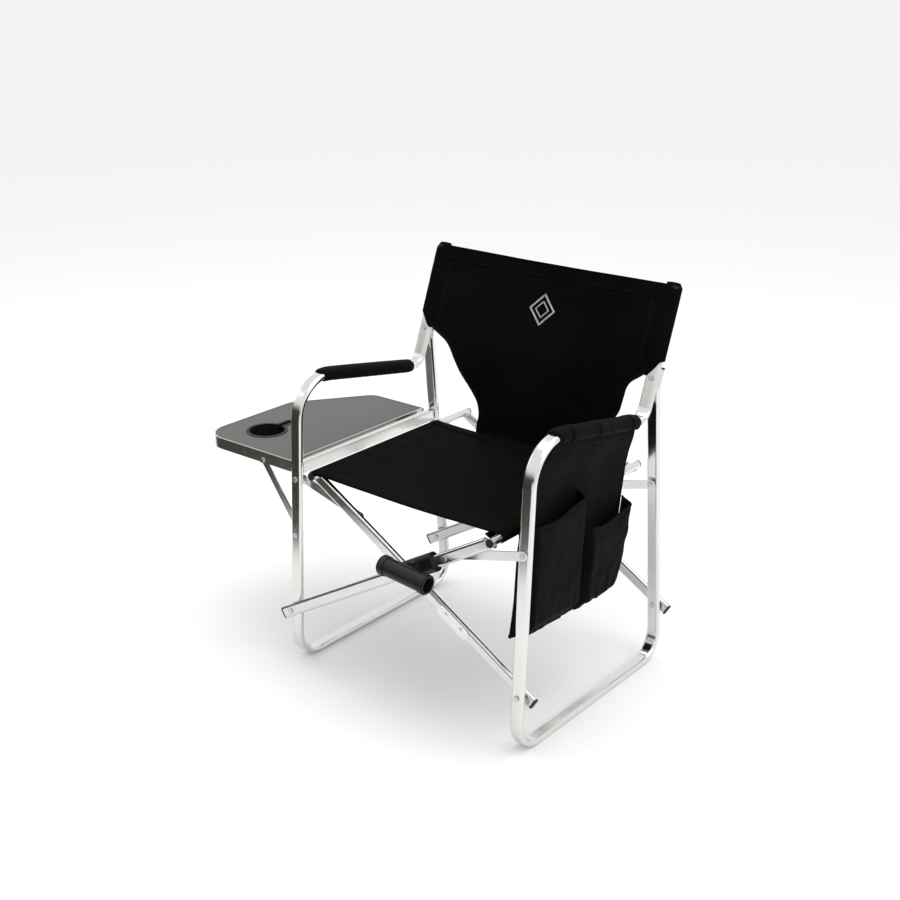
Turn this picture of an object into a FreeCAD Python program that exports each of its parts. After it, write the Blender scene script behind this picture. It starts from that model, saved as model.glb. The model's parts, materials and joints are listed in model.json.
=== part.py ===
import FreeCAD
import Part
import math
import os
from FreeCAD import Vector

# Folding camp chair with a drop-down side table, an organiser and a rod holder.
# Millimetres.  +X is the organiser side, -X the table side, the sitter faces -Y, +Z is up.
# Everything is drawn about the middle of the seat, and moved at the very end so that the
# origin is the middle of the footprint box, on the floor.

# ---------------------------------------------------------------- driving dimensions
half_width = 284.0           # chair centre to the middle of a side frame
tube_width = 28.0            # flat-oval frame tube, across the chair
tube_thick = 13.0            # the same tube, in the plane of its bends
tube_wall = 1.4

front_leg_foot_y = -215.0    # leg lines, where they would meet the floor
front_leg_lean = 0.05        # backwards, per mm of height
rear_leg_foot_y = 280.0
rear_leg_lean = -0.10
recline_deg = 21.0           # back posts, from upright
back_top_y = 278.0
back_top_z = 806.0
post_top_z = 796.0           # the bare end of the post, inside the back sleeve
arm_at_y = -150.0            # one point of the arm centre line, and its drop to the rear
arm_at_z = 612.5
arm_drop_deg = 10.2
rear_leg_top_z = 645.0
foot_radius = 55.0
front_bend_radius = 80.0
arm_rear_radius = 30.0
post_bend_radius = 35.0
post_gap = 0.6               # between the post and the leg end riveted behind it

pivot_z = 121.0              # lower pivots of the crossed legs
centre_rise = 167.5          # centre pivot above them, chair open
upper_share = 0.82           # upper half of a crossed leg as a share of the lower half
folded_half_width = 140.0
cross_width = 25.0           # flat-oval crossed leg
cross_thick = 12.0
cross_overrun = 24.0         # past the lower pivot, with its end cap
front_1_gap = 4.5            # between each leg and the crossed leg beside it; the legs lean,
rear_1_gap = 4.5             # so each gap keeps the two apart when the chair is folded
front_2_gap = 2.6
rear_2_gap = 7.5
spacer_radius = 8.0
spacer_clear = 1.1           # between a washer and the leaning face of its leg
rail_overhang = 9.0          # seat rail past the crossed leg under it
cap_tongue = 12.0            # plug tongue inside a crossed leg or a rail
rail_cap = 3.0
saddle_drop = 7.0            # from the rail down to the end of the crossed leg
saddle_tongue = 34.0

rail_radius = 8.0            # seat rails
rail_wall = 1.2
link_pivot_z = 405.0         # where the stay links are riveted to the legs
link_width = 18.0
link_thick = 3.0
link_clears = {1: (1.25, 5.4), -1: (3.2, 1.8)}    # from the front and rear legs of each side
boss_radius = 6.0
shortest_boss = 2.5
doubler_along = 140.0        # middle of the stiffening plate, down from the centre pivot
doubler_length = 60.0
doubler_width = 24.0
doubler_thick = 1.5

pin_radius = 3.0             # every pivot rivet
head_ratio = 1.9             # head radius over pin radius
head_rise = 0.7              # head height over pin radius
rivet_slack = 0.6            # under each rivet head
low_plug_depth = 8.0
fit = 0.05                   # radial running clearance
gap = 0.3                    # between faces that pass or rest beside each other

cloth = 2.5
seat_front_y = -205.0
seat_rear_y = 186.0

table_inner_x = -300.0
table_outer_x = -560.0
table_front_y = -196.0
table_rear_y = 220.0
table_top_z = 440.0
table_depth = 24.0
board_thick = 8.0
rim_wall = 2.5
hinge_x = -296.0
hinge_z = 412.0
hinge_ys = (-158.0, 186.0)
hinge_pin_radius = 2.0
knuckle_radius = 4.0
cup_x = -467.0
cup_y = -100.0
cup_radius = 38.0
cup_depth = 38.0
cup_wall = 2.2
cup_floor = 2.0
flange_lip = 1.2
flange_reach = 6.0
handle_width = 12.0
handle_run = 66.0
ledge_reach = 6.0
ledge_thick = 2.0
board_drop = 1.0             # board face below the rim
leaf_half = 13.0             # half length of a hinge
knuckle_split = 6.2
leaf_thick = 1.7
leaf_reach = 34.0            # of the table's leaf, from the hinge
hinge_pin_half = 14.5
strut_pivot_z = 284.0
strut_top_x = -383.0
strut_top_z = 421.0
strut_width = 14.0
strut_thick = 3.0
strut_clear = 1.5            # between the front leg and the strut
hinge_rail_z = (414.0, 438.0)
hinge_rail_half = 6.0
hinge_rail_wall = 1.5
hinge_rail_front = 6.8       # behind the front leg, clear of the folded link
hinge_rail_rear = 1.0

pouch_wall = 2.5
pouch_depth = 28.0
loop_ys = (-70.0, 18.0, 132.0)
loop_width = 24.0
loop_wall = 2.0

X = Vector(1, 0, 0)
Y = Vector(0, 1, 0)
Z = Vector(0, 0, 1)

# ---------------------------------------------------------------- worked-out sizes
recline = math.radians(recline_deg)
arm_drop = math.radians(arm_drop_deg)
lower_half = math.hypot(half_width, centre_rise)
folded_rise = math.sqrt(lower_half ** 2 - folded_half_width ** 2)
open_angle = math.asin(centre_rise / lower_half)
fold_range = math.asin(folded_rise / lower_half) - open_angle
centre_z = pivot_z + centre_rise
rail_x = upper_share * half_width
rail_z = centre_z + upper_share * centre_rise
# A link keeps its length from open to folded when its far pin sits at this share.
link_pivot_rise = link_pivot_z - pivot_z
link_share = 1.0 / (2.0 * (centre_rise + folded_rise) / link_pivot_rise - 1.0)
link_x = link_share * half_width
link_z = centre_z + link_share * centre_rise


def front_leg_y(z):
    return front_leg_foot_y + front_leg_lean * z


def rear_leg_y(z):
    return rear_leg_foot_y + rear_leg_lean * z


def arm_z(y):
    return arm_at_z - math.tan(arm_drop) * (y - arm_at_y)


def post_y(z):
    return back_top_y - math.tan(recline) * (back_top_z - z)


# Planes of the crossed legs: set 1 runs behind the legs it is riveted to, set 2 in front.
half_pair = tube_thick / 2 + cross_thick / 2
front_1_y = front_leg_y(pivot_z) + half_pair + front_1_gap
front_2_y = front_leg_y(pivot_z) - half_pair - front_2_gap
rear_1_y = rear_leg_y(pivot_z) + half_pair + rear_1_gap
rear_2_y = rear_leg_y(pivot_z) - half_pair - rear_2_gap


# ---------------------------------------------------------------- shape helpers
def box(x0, x1, y0, y1, z0, z1):
    return Part.makeBox(x1 - x0, y1 - y0, z1 - z0, Vector(x0, y0, z0))


def rod(start, end, radius):
    way = end.sub(start)
    return Part.makeCylinder(radius, way.Length, start, way)


def ring(start, end, outer, inner):
    return rod(start, end, outer).cut(rod(start, end, inner))


def prism(points, way):
    """A closed polygon pushed along a vector."""
    return Part.Face(Part.makePolygon(points + [points[0]])).extrude(way)


def stadium(centre, long_way, short_way, width, thick):
    """Flat-oval outline: two straight sides and two half circles."""
    end = thick / 2
    side = width / 2 - end
    corner = [centre + long_way * (side * a) + short_way * (end * b)
              for a, b in ((-1, 1), (1, 1), (1, -1), (-1, -1))]
    right = centre + long_way * (width / 2)
    left = centre - long_way * (width / 2)
    return Part.Wire([
        Part.LineSegment(corner[0], corner[1]).toShape(),
        Part.Arc(corner[1], right, corner[2]).toShape(),
        Part.LineSegment(corner[2], corner[3]).toShape(),
        Part.Arc(corner[3], left, corner[0]).toShape(),
    ])


def oval_bar(start, end, long_way, width, thick, wall=0.0):
    """A straight flat-oval bar, or a tube when it has a wall."""
    way = end.sub(start)
    short_way = way.cross(long_way).normalize()
    bar = Part.Face(stadium(start, long_way, short_way, width, thick)).extrude(way)
    if wall:
        hole = stadium(start, long_way, short_way, width - 2 * wall, thick - 2 * wall)
        bar = bar.cut(Part.Face(hole).extrude(way))
    return bar


def corner_arc(before, corner, after, radius):
    """Tangent points and middle of the arc that rounds a corner."""
    back = before.sub(corner).normalize()
    on = after.sub(corner).normalize()
    half = back.getAngle(on) / 2
    reach = radius / math.tan(half)
    middle_way = back.add(on).normalize()
    middle = corner + middle_way * (radius / math.sin(half) - radius)
    return corner + back * reach, middle, corner + on * reach


def rounded_path(corners, radii):
    """Straight runs joined by tangent arcs."""
    edges = []
    start = corners[0]
    for before, corner, after, radius in zip(corners, corners[1:], corners[2:], radii):
        first, middle, last = corner_arc(before, corner, after, radius)
        edges.append(Part.LineSegment(start, first).toShape())
        edges.append(Part.Arc(first, middle, last).toShape())
        start = last
    edges.append(Part.LineSegment(start, corners[-1]).toShape())
    return edges


def swept(edges, width, thick):
    """Flat-oval section, wide across X, along a path in a plane of constant X."""
    path = Part.Wire(edges)
    start = edges[0].valueAt(edges[0].FirstParameter)
    way = edges[0].tangentAt(edges[0].FirstParameter)
    section = Part.Face(stadium(start, X, way.cross(X).normalize(), width, thick))
    return path.makePipe(section)


def rivet(x, z, y0, y1, radius=pin_radius):
    """A rivet along Y with a low domed head at each end."""
    head_radius = head_ratio * radius
    head = head_rise * radius
    body = rod(Vector(x, y0, z), Vector(x, y1, z), radius)
    for y, way in ((y0, -1), (y1, 1)):
        disc = rod(Vector(x, y, z), Vector(x, y + way * head, z), head_radius)
        rim = [e for e in disc.Edges if isinstance(e.Curve, Part.Circle)
               and abs(e.Curve.Center.y - (y + way * head)) < 0.01]
        body = body.fuse(disc.makeFillet(0.6 * head, rim))
    return body.removeSplitter()


def headed_pin(x, z, head_y, end_y, radius=pin_radius):
    """A pin along Y with a head at one end only, outside head_y."""
    out = -1 if end_y > head_y else 1
    top = Vector(x, head_y + out * head_rise * radius, z)
    head = rod(Vector(x, head_y, z), top, head_ratio * radius)
    return rod(Vector(x, head_y, z), Vector(x, end_y, z), radius).fuse(head).removeSplitter()


def y_hole(x, z, y0, y1, radius=pin_radius + fit):
    return rod(Vector(x, y0, z), Vector(x, y1, z), radius)


def flat_bar(x0, z0, x1, z1, width, y0, y1, holes):
    """A flat bar with round ends in a plane of constant Y, drilled for its pins."""
    start = Vector(x0, y0, z0)
    end = Vector(x1, y0, z1)
    across = Y.cross(end.sub(start)).normalize() * (width / 2)
    run = end.sub(start).normalize() * (width / 2)
    outline = Part.Wire([
        Part.LineSegment(start + across, end + across).toShape(),
        Part.Arc(end + across, end + run, end - across).toShape(),
        Part.LineSegment(end - across, start - across).toShape(),
        Part.Arc(start - across, start - run, start + across).toShape(),
    ])
    bar = Part.Face(outline).extrude(Y * (y1 - y0))
    for x, z in holes:
        bar = bar.cut(y_hole(x, z, y0 - 1, y1 + 1))
    return bar


def plug(start, way, long_way, width, thick, wall, cap=4.0, depth=18.0):
    """End plug of a flat-oval tube: a cap of the tube's outline and a tongue inside it."""
    way = Vector(way).normalize()
    cap_solid = oval_bar(start, start + way * cap, long_way, width, thick)
    inner_width = width - 2 * wall - 2 * fit
    inner_thick = thick - 2 * wall - 2 * fit
    return cap_solid.fuse(oval_bar(start, start - way * depth, long_way, inner_width, inner_thick))


# ---------------------------------------------------------------- side frames
def meet(p, way_p, q, way_q):
    """Where two lines in the Y-Z plane cross; all four are (y, z) pairs."""
    det = way_p[0] * way_q[1] - way_p[1] * way_q[0]
    t = ((q[0] - p[0]) * way_q[1] - (q[1] - p[1]) * way_q[0]) / det
    return p[0] + way_p[0] * t, p[1] + way_p[1] * t


post_way = (math.sin(recline), math.cos(recline))
arm_way = (math.cos(arm_drop), -math.sin(arm_drop))
behind = tube_thick + post_gap
leg_end_line = (back_top_y + behind * post_way[1], back_top_z - behind * post_way[0])

floor_z = tube_thick / 2
arm_rear = meet((back_top_y, back_top_z), post_way, (arm_at_y, arm_at_z), arm_way)
arm_front = meet((front_leg_foot_y, 0.0), (front_leg_lean, 1.0), (arm_at_y, arm_at_z), arm_way)
leg_bend = meet((rear_leg_foot_y, 0.0), (rear_leg_lean, 1.0), leg_end_line, post_way)
leg_end_rise = rear_leg_top_z - leg_bend[1]
leg_end = (leg_bend[0] + math.tan(recline) * leg_end_rise, rear_leg_top_z)
frame_corners = [
    (post_y(post_top_z), post_top_z),
    arm_rear,
    arm_front,
    (front_leg_y(floor_z), floor_z),
    (rear_leg_y(floor_z), floor_z),
    leg_bend,
    leg_end,
]
frame_radii = [arm_rear_radius, front_bend_radius, foot_radius, foot_radius, post_bend_radius]
post_rivet_z = 631.0
post_rivet = (post_y(post_rivet_z), post_rivet_z)


def frame_points(x):
    return [Vector(x, y, z) for y, z in frame_corners]


def across_post(x, near, far):
    """Two points on a line through the post, square to it, at the height of its rivet."""
    square = Vector(0, post_way[1], -post_way[0])
    middle = Vector(x, *post_rivet)
    return middle + square * near, middle + square * far


def side_frame(side):
    """The bent tube of one side: back post, arm, front leg, floor bar and rear leg.

    Every straight run and bend is a solid of its own, and they meet face to face.
    """
    x = side * half_width
    runs = []
    for edge in rounded_path(frame_points(x), frame_radii):
        hollow = swept([edge], tube_width - 2 * tube_wall, tube_thick - 2 * tube_wall)
        runs.append(swept([edge], tube_width, tube_thick).cut(hollow))
    tube = Part.makeCompound(runs)
    for z, leg_y in ((pivot_z, front_leg_y), (pivot_z, rear_leg_y),
                     (link_pivot_z, front_leg_y), (link_pivot_z, rear_leg_y)):
        tube = tube.cut(y_hole(x, z, leg_y(z) - tube_thick, leg_y(z) + tube_thick))
    if side < 0:
        y = front_leg_y(strut_pivot_z)
        tube = tube.cut(y_hole(x, strut_pivot_z, y - tube_thick, y + tube_thick))
    near, far = across_post(x, -tube_thick, 2 * tube_thick + post_gap)
    return tube.cut(rod(near, far, pin_radius + fit))


def frame_plugs(side):
    x = side * half_width
    points = frame_points(x)
    top = plug(points[0], points[0].sub(points[1]), X, tube_width, tube_thick, tube_wall)
    low = plug(points[-1], points[-1].sub(points[-2]), X, tube_width, tube_thick, tube_wall,
               depth=low_plug_depth)
    return Part.makeCompound([top, low])


def post_rivets(side):
    x = side * half_width
    head = 2.0
    start = -tube_thick / 2 - gap
    end = 1.5 * tube_thick + post_gap + gap
    near, far = across_post(x, start, end)
    pin = rod(near, far, pin_radius)
    for a, b in ((start - head, start), (end, end + head)):
        pin = pin.fuse(rod(*across_post(x, a, b), head_ratio * pin_radius))
    return pin.removeSplitter()


pad_width = 38.0
pad_thick = 25.0
pad_bend_deg = 20.0


def arm_pad(side):
    """Padded sleeve along the arm, its front end started on the front bend."""
    x = side * half_width
    points = frame_points(x)
    _, _, bend_end = corner_arc(points[3], points[2], points[1], front_bend_radius)
    rear_end, _, _ = corner_arc(points[2], points[1], points[0], arm_rear_radius)
    way = rear_end.sub(bend_end).normalize()
    centre = bend_end + Vector(0, way.z, -way.y) * front_bend_radius

    def on_bend(back_deg):
        turn = math.radians(back_deg)
        spoke = bend_end.sub(centre)
        along = way * (-math.sin(turn) * front_bend_radius)
        return centre + spoke * math.cos(turn) + along

    edges = [
        Part.Arc(on_bend(pad_bend_deg), on_bend(pad_bend_deg / 2), bend_end).toShape(),
        Part.LineSegment(bend_end, rear_end).toShape(),
    ]
    inner_width = tube_width + 2 * gap
    inner_thick = tube_thick + 2 * gap
    return swept(edges, pad_width, pad_thick).cut(swept(edges, inner_width, inner_thick))


def leg_rivets(side):
    """Pivot rivets of one side frame: lower pivots, link pivots and, on the table side, the strut."""
    x = side * half_width
    half_tube = tube_thick / 2 + rivet_slack
    pins = []
    for leg_y, cross_y in ((front_leg_y, front_1_y if side > 0 else front_2_y),
                           (rear_leg_y, rear_1_y if side > 0 else rear_2_y)):
        y = leg_y(pivot_z)
        away = cross_thick / 2 + gap
        if cross_y > y:
            pins.append(rivet(x, pivot_z, y - half_tube, cross_y + away))
        else:
            pins.append(rivet(x, pivot_z, cross_y - away, y + half_tube))
    for leg_y, near, far in link_planes(side):
        y = leg_y(link_pivot_z)
        if near > y:
            pins.append(rivet(x, link_pivot_z, y - half_tube - gap, far + gap))
        else:
            pins.append(rivet(x, link_pivot_z, near - gap, y + half_tube + gap))
    if side < 0:
        y = front_leg_y(strut_pivot_z)
        pins.append(rivet(x, strut_pivot_z, y - half_tube, strut_y1 + gap))
    return Part.makeCompound(pins)


def leg_spacers(side):
    """Plastic washers between the legs and the crossed legs."""
    x = side * half_width
    rings = []
    for leg_y, cross_y in ((front_leg_y, front_1_y if side > 0 else front_2_y),
                           (rear_leg_y, rear_1_y if side > 0 else rear_2_y)):
        way = 1 if cross_y > leg_y(pivot_z) else -1
        face = cross_y - way * (cross_thick / 2 + gap)
        room = abs(cross_y - leg_y(pivot_z)) - half_pair
        thick = room - gap - spacer_clear
        rings.append(ring(Vector(x, face, pivot_z), Vector(x, face - way * thick, pivot_z),
                          spacer_radius, pin_radius + fit))
    return Part.makeCompound(rings)


# ---------------------------------------------------------------- stay links
def link_planes(side):
    """(leg line, near y, far y) of the front and rear links of one side."""
    planes = []
    for leg_y, clear in zip((front_leg_y, rear_leg_y), link_clears[side]):
        y = leg_y(link_pivot_z)
        if side > 0:
            far = y - tube_thick / 2 - clear
            planes.append((leg_y, far - link_thick, far))
        else:
            near = y + tube_thick / 2 + clear
            planes.append((leg_y, near, near + link_thick))
    return planes


def link(side, end):
    _, near, far = link_planes(side)[end]
    outer = (side * half_width, link_pivot_z)
    inner = (side * link_x, link_z)
    return flat_bar(*outer, *inner, link_width, near, far, [outer, inner])


def link_pins(cross):
    """Pin and boss on a crossed leg at the link's far end; they stop just short of the link."""
    side = 1 if cross == 2 else -1
    x = side * link_x
    pins = []
    for cross_y, (_, near, far) in zip(cross_planes(cross), link_planes(side)):
        way = 1 if cross_y < near else -1
        face = cross_y + way * cross_thick / 2
        stop = near - gap if way > 0 else far + gap
        end = stop if abs(stop - face) > shortest_boss else face + way * gap
        pin = headed_pin(x, link_z, cross_y - way * (cross_thick / 2 + gap), end)
        if end == stop:
            boss_start = Vector(x, face + way * gap, link_z)
            pin = pin.fuse(rod(boss_start, Vector(x, stop, link_z), boss_radius))
        pins.append(pin.removeSplitter())
    return Part.makeCompound(pins)


# ---------------------------------------------------------------- crossed legs
def cross_planes(cross):
    return (front_1_y, rear_1_y) if cross == 1 else (front_2_y, rear_2_y)


def cross_way(cross):
    """Unit vector up a crossed leg, from its lower pivot to its seat rail."""
    side = -1 if cross == 1 else 1
    return Vector(side * half_width, 0, centre_rise).normalize()


def cross_foot(cross, y):
    side = 1 if cross == 1 else -1
    return Vector(side * half_width, y, pivot_z)


def cross_leg(cross, y):
    """One crossed leg, from its end cap to just under the seat rail, drilled for its pins."""
    way = cross_way(cross)
    foot = cross_foot(cross, y)
    start = foot - way * cross_overrun
    end = foot + way * ((1 + upper_share) * lower_half - rail_radius - saddle_drop)
    leg = oval_bar(start, end, way.cross(Y).normalize(), cross_width, cross_thick, tube_wall)
    link_side = -1 if cross == 1 else 1
    for x, z in ((foot.x, pivot_z), (0.0, centre_z), (link_side * link_x, link_z)):
        leg = leg.cut(y_hole(x, z, y - cross_thick, y + cross_thick))
    return leg


def cross_caps(cross):
    """Plugs in the lower ends of the crossed legs and in both ends of the seat rail."""
    way = cross_way(cross)
    across = way.cross(Y).normalize()
    caps = []
    for y in cross_planes(cross):
        start = cross_foot(cross, y) - way * cross_overrun
        caps.append(plug(start, way * -1, across, cross_width, cross_thick, tube_wall,
                         depth=cap_tongue))
    rail_side = -1 if cross == 1 else 1
    for y, out in zip(rail_ends(cross), (-1, 1)):
        start = Vector(rail_side * rail_x, y, rail_z)
        cap = rod(start, start + Y * (out * rail_cap), rail_radius)
        tongue_end = start - Y * (out * cap_tongue)
        caps.append(cap.fuse(rod(start, tongue_end, rail_radius - rail_wall - fit)))
    return Part.makeCompound(caps)


def rail_ends(cross):
    front, rear = cross_planes(cross)
    return min(seat_front_y, front - rail_overhang), rear + rail_overhang


def seat_rail(cross):
    side = -1 if cross == 1 else 1
    front, rear = rail_ends(cross)
    start = Vector(side * rail_x, front, rail_z)
    end = Vector(side * rail_x, rear, rail_z)
    return ring(start, end, rail_radius, rail_radius - rail_wall)


def saddles(cross):
    """Moulded saddles: a cradle under the rail and a tongue down into the crossed leg."""
    side = -1 if cross == 1 else 1
    way = cross_way(cross)
    across = way.cross(Y).normalize()
    solids = []
    for y in cross_planes(cross):
        rail = Vector(side * rail_x, y, rail_z)
        half = cross_thick / 2 - gap
        low = rail - way * (rail_radius + saddle_drop - gap)
        block = oval_bar(low, rail, across, cross_width, 2 * half)
        tongue_width = cross_width - 2 * tube_wall - 2 * fit
        tongue_thick = cross_thick - 2 * tube_wall - 2 * fit
        tongue = oval_bar(rail - way * saddle_tongue, rail, across, tongue_width, tongue_thick)
        block = block.fuse(tongue)
        hollow = rod(rail - Y * cross_thick, rail + Y * cross_thick, rail_radius + fit)
        above = box(rail.x - cross_width, rail.x + cross_width, y - cross_thick,
                    y + cross_thick, rail_z, rail_z + cross_width)
        solids.append(block.cut(hollow).cut(above))
    return Part.makeCompound(solids)


def centre_pins():
    pins = []
    for y1, y2 in zip(cross_planes(1), cross_planes(2)):
        pins.append(rivet(0, centre_z, y2 - cross_thick / 2 - gap, y1 + cross_thick / 2 + gap))
    return Part.makeCompound(pins)


def centre_spacers():
    rings = []
    for y1, y2 in zip(cross_planes(1), cross_planes(2)):
        start = Vector(0, y2 + cross_thick / 2 + gap, centre_z)
        end = Vector(0, y1 - cross_thick / 2 - gap, centre_z)
        rings.append(ring(start, end, spacer_radius + 1.0, pin_radius + fit))
    return Part.makeCompound(rings)


def doubler():
    """Stiffening plate riveted to the front of the front crossed leg of set 1."""
    way = cross_way(1)
    across = way.cross(Y).normalize()
    y = front_1_y - cross_thick / 2 - 0.1
    solids = []
    middle = Vector(0, y, centre_z) - way * doubler_along
    low = middle - way * (doubler_length / 2)
    high = middle + way * (doubler_length / 2)
    face = y - doubler_thick
    solids.append(flat_bar(low.x, low.z, high.x, high.z, doubler_width, face, y, []))
    for along in (-doubler_length / 3, doubler_length / 3):
        spot = middle + way * along
        head = Vector(spot.x, face - 0.1, spot.z)
        solids.append(rod(head, head - Y * (head_rise * pin_radius), 4.0))
    return Part.makeCompound(solids)


# ---------------------------------------------------------------- sling seat and back
def seat_half(side):
    """Half of the seat sling, from the middle to the top of its rail."""
    inner = 0.15
    top = rail_z + rail_radius + gap
    sheet = box(inner, rail_x, seat_front_y, seat_rear_y, top, top + cloth)
    if side < 0:
        sheet = sheet.mirror(Vector(0, 0, 0), X)
    return sheet


# (x, z) of one half of the back, from the middle of the tongue round the cut-out to the
# top.  The cut-out is deeper on the table side.
back_top_edge = [(262.0, 632.0), (301.5, 668.0), (301.5, 806.0), (150.0, 803.0), (0.15, 801.0)]
back_outlines = {
    -1: [(0.15, 447.0), (128.0, 447.0), (119.0, 470.0), (126.0, 500.0), (146.0, 525.0),
         (176.0, 555.0), (197.0, 585.0), (212.0, 608.0), (236.0, 624.0)] + back_top_edge,
    1: [(0.15, 447.0), (128.0, 447.0), (140.0, 470.0), (168.0, 500.0), (200.0, 525.0),
        (221.0, 551.0), (227.0, 580.0), (232.0, 607.0), (243.0, 622.0)] + back_top_edge,
}
back_front_offset = tube_thick / 2 + 1.2


def back_panel_y(z):
    """Rear face of the panel, just in front of the posts."""
    return post_y(z) - back_front_offset / math.cos(recline)


def back_half(side):
    """Half of the back sling: a T-shaped panel with a tongue down to the seat, and a post sleeve."""
    x = half_width
    panel_line = [(seat_rear_y + 6.0, 446.0), (back_panel_y(600.0), 600.0),
                  (back_panel_y(back_top_z), back_top_z)]
    forward = [Vector(0, y - cloth, z) for y, z in panel_line]
    backward = [Vector(0, y, z) for y, z in reversed(panel_line)]
    band = prism(forward + backward, X * (x - tube_width / 2 + 6.0))
    outline = prism([Vector(px, 100.0, pz) for px, pz in back_outlines[side]], Y * 260.0)
    panel = band.common(outline)
    low = Vector(x, post_y(668.0), 668.0)
    high = Vector(x, post_y(back_top_z - 4.0), back_top_z - 4.0)
    sleeve = oval_bar(low, high, X, tube_width + 2 * (gap + cloth), tube_thick + 2 * (gap + cloth))
    core = oval_bar(low, high, X, tube_width + 2 * gap, tube_thick + 2 * gap)
    half = panel.cut(core).fuse(sleeve.cut(core)).removeSplitter()
    if side < 0:
        half = half.mirror(Vector(0, 0, 0), X)
    return half


# ---------------------------------------------------------------- organiser
panel_x = half_width - 20.0
arm_under = tube_thick / 2 + (pad_thick - tube_thick) / 2 + 2.5
pouch_outline = [
    # (y, z) round the back panel
    (-217.0, 239.0), (118.0, 213.0), (143.0, 400.0), (170.0, arm_z(170.0) - arm_under),
    (-100.0, arm_z(-100.0) - arm_under), (-152.0, 545.0), (-189.0, 405.0), (-200.0, 300.0),
]
front_pocket = [(-188.0, 226.0), (-10.0, 220.0), (-10.0, 458.0), (-178.0, 452.0)]
rear_pocket = [(-8.0, 219.0), (98.0, 215.0), (120.0, 236.0), (138.0, 388.0), (-8.0, 394.0)]


def pouch_panel():
    """Back panel: upright below, leaning out to hang from under the arm."""
    profile = [(panel_x, 180.0), (panel_x, 470.0), (half_width - 6.0, 560.0),
               (half_width - 6.0, 640.0)]
    inner = [Vector(px - cloth / 2, -260.0, pz) for px, pz in profile]
    outer = [Vector(px + cloth / 2, -260.0, pz) for px, pz in reversed(profile)]
    band = prism(inner + outer, Y * 520.0)
    return band.common(prism([Vector(200.0, y, z) for y, z in pouch_outline], X * 120.0))


def pouch_pocket(outline):
    """A gusseted pocket on the panel, open at the top."""
    face = panel_x + cloth / 2
    outer = prism([Vector(face, y, z) for y, z in outline], X * pouch_depth)
    middle_y = sum(y for y, _ in outline) / len(outline)
    top = max(z for _, z in outline)
    inner = []
    for y, z in outline:
        inset_y = y + pouch_wall if y < middle_y else y - pouch_wall
        inset_z = z + pouch_wall if z < 300.0 else top + 20.0
        inner.append(Vector(face - 1.0, inset_y, inset_z))
    return outer.cut(prism(inner, X * (pouch_depth - pouch_wall + 1.0)))


def pouch_loops():
    """Webbing loops that hang the panel from the padded arm."""
    loops = []
    for y in loop_ys:
        centre = Vector(half_width, y, arm_z(y))
        way = Vector(0, math.cos(arm_drop), -math.sin(arm_drop))
        start = centre - way * (loop_width / 2)
        end = centre + way * (loop_width / 2)
        outer = oval_bar(start, end, X, pad_width + 2 * loop_wall, pad_thick + 2 * loop_wall)
        inner = oval_bar(start, end, X, pad_width + 2 * gap, pad_thick + 2 * gap)
        loops.append(outer.cut(inner))
    return Part.makeCompound(loops)


# ---------------------------------------------------------------- side table
table_corners = [
    # (x, y) and corner radius, from the inner front corner round to the inner rear corner
    ((table_inner_x, table_front_y), 0.0),
    ((table_outer_x, table_front_y), 55.0),
    ((table_outer_x, 62.0), 45.0),
    ((table_outer_x + 112.0, table_rear_y), 35.0),
    ((table_inner_x, table_rear_y), 0.0),
]


def table_outline(inset, z):
    """Outline of the table, moved in by the inset."""
    points = [Vector(x, y, z) for (x, y), _ in table_corners]
    edges = []
    start = points[0]
    for i in range(1, len(points) - 1):
        radius = table_corners[i][1]
        first, middle, last = corner_arc(points[i - 1], points[i], points[i + 1], radius)
        edges.append(Part.LineSegment(start, first).toShape())
        edges.append(Part.Arc(first, middle, last).toShape())
        start = last
    edges.append(Part.LineSegment(start, points[-1]).toShape())
    edges.append(Part.LineSegment(points[-1], points[0]).toShape())
    wire = Part.Wire(edges)
    if inset:
        wire = wire.makeOffset2D(-inset)
    return Part.Face(wire)


def handle_slot(width, z0, z1):
    """Slot beside the cup for a mug handle, with a round end."""
    end_y = cup_y + handle_run
    straight = box(cup_x - width / 2, cup_x + width / 2, cup_y, end_y, z0, z1)
    return straight.fuse(rod(Vector(cup_x, end_y, z0), Vector(cup_x, end_y, z1), width / 2))


def table_rim():
    """Extruded edge frame with a ledge that carries the board."""
    low = table_top_z - table_depth
    rim = table_outline(0, low).extrude(Z * table_depth)
    ledge_z = table_top_z - board_drop - board_thick
    under_z = ledge_z - ledge_thick
    rim = rim.cut(table_outline(rim_wall, ledge_z).extrude(Z * table_depth))
    rim = rim.cut(table_outline(rim_wall + ledge_reach, under_z).extrude(Z * board_thick))
    rim = rim.cut(table_outline(rim_wall, low - 1).extrude(Z * (under_z - low + 1)))
    hole_end = table_front_y + rim_wall + 1
    return rim.cut(y_hole(strut_top_x, strut_top_z, table_front_y - 1, hole_end))


def table_board():
    """Laminated board that fills the rim, cut out for the cup holder."""
    low = table_top_z - board_drop - board_thick
    board = table_outline(rim_wall + gap, low + fit).extrude(Z * (board_thick - fit))
    start = low - board_thick
    end = low + 2 * board_thick
    reach = cup_wall + gap
    hole = rod(Vector(cup_x, cup_y, start), Vector(cup_x, cup_y, end), cup_radius + reach)
    return board.cut(hole).cut(handle_slot(handle_width + 2 * reach, start, end))


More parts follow.
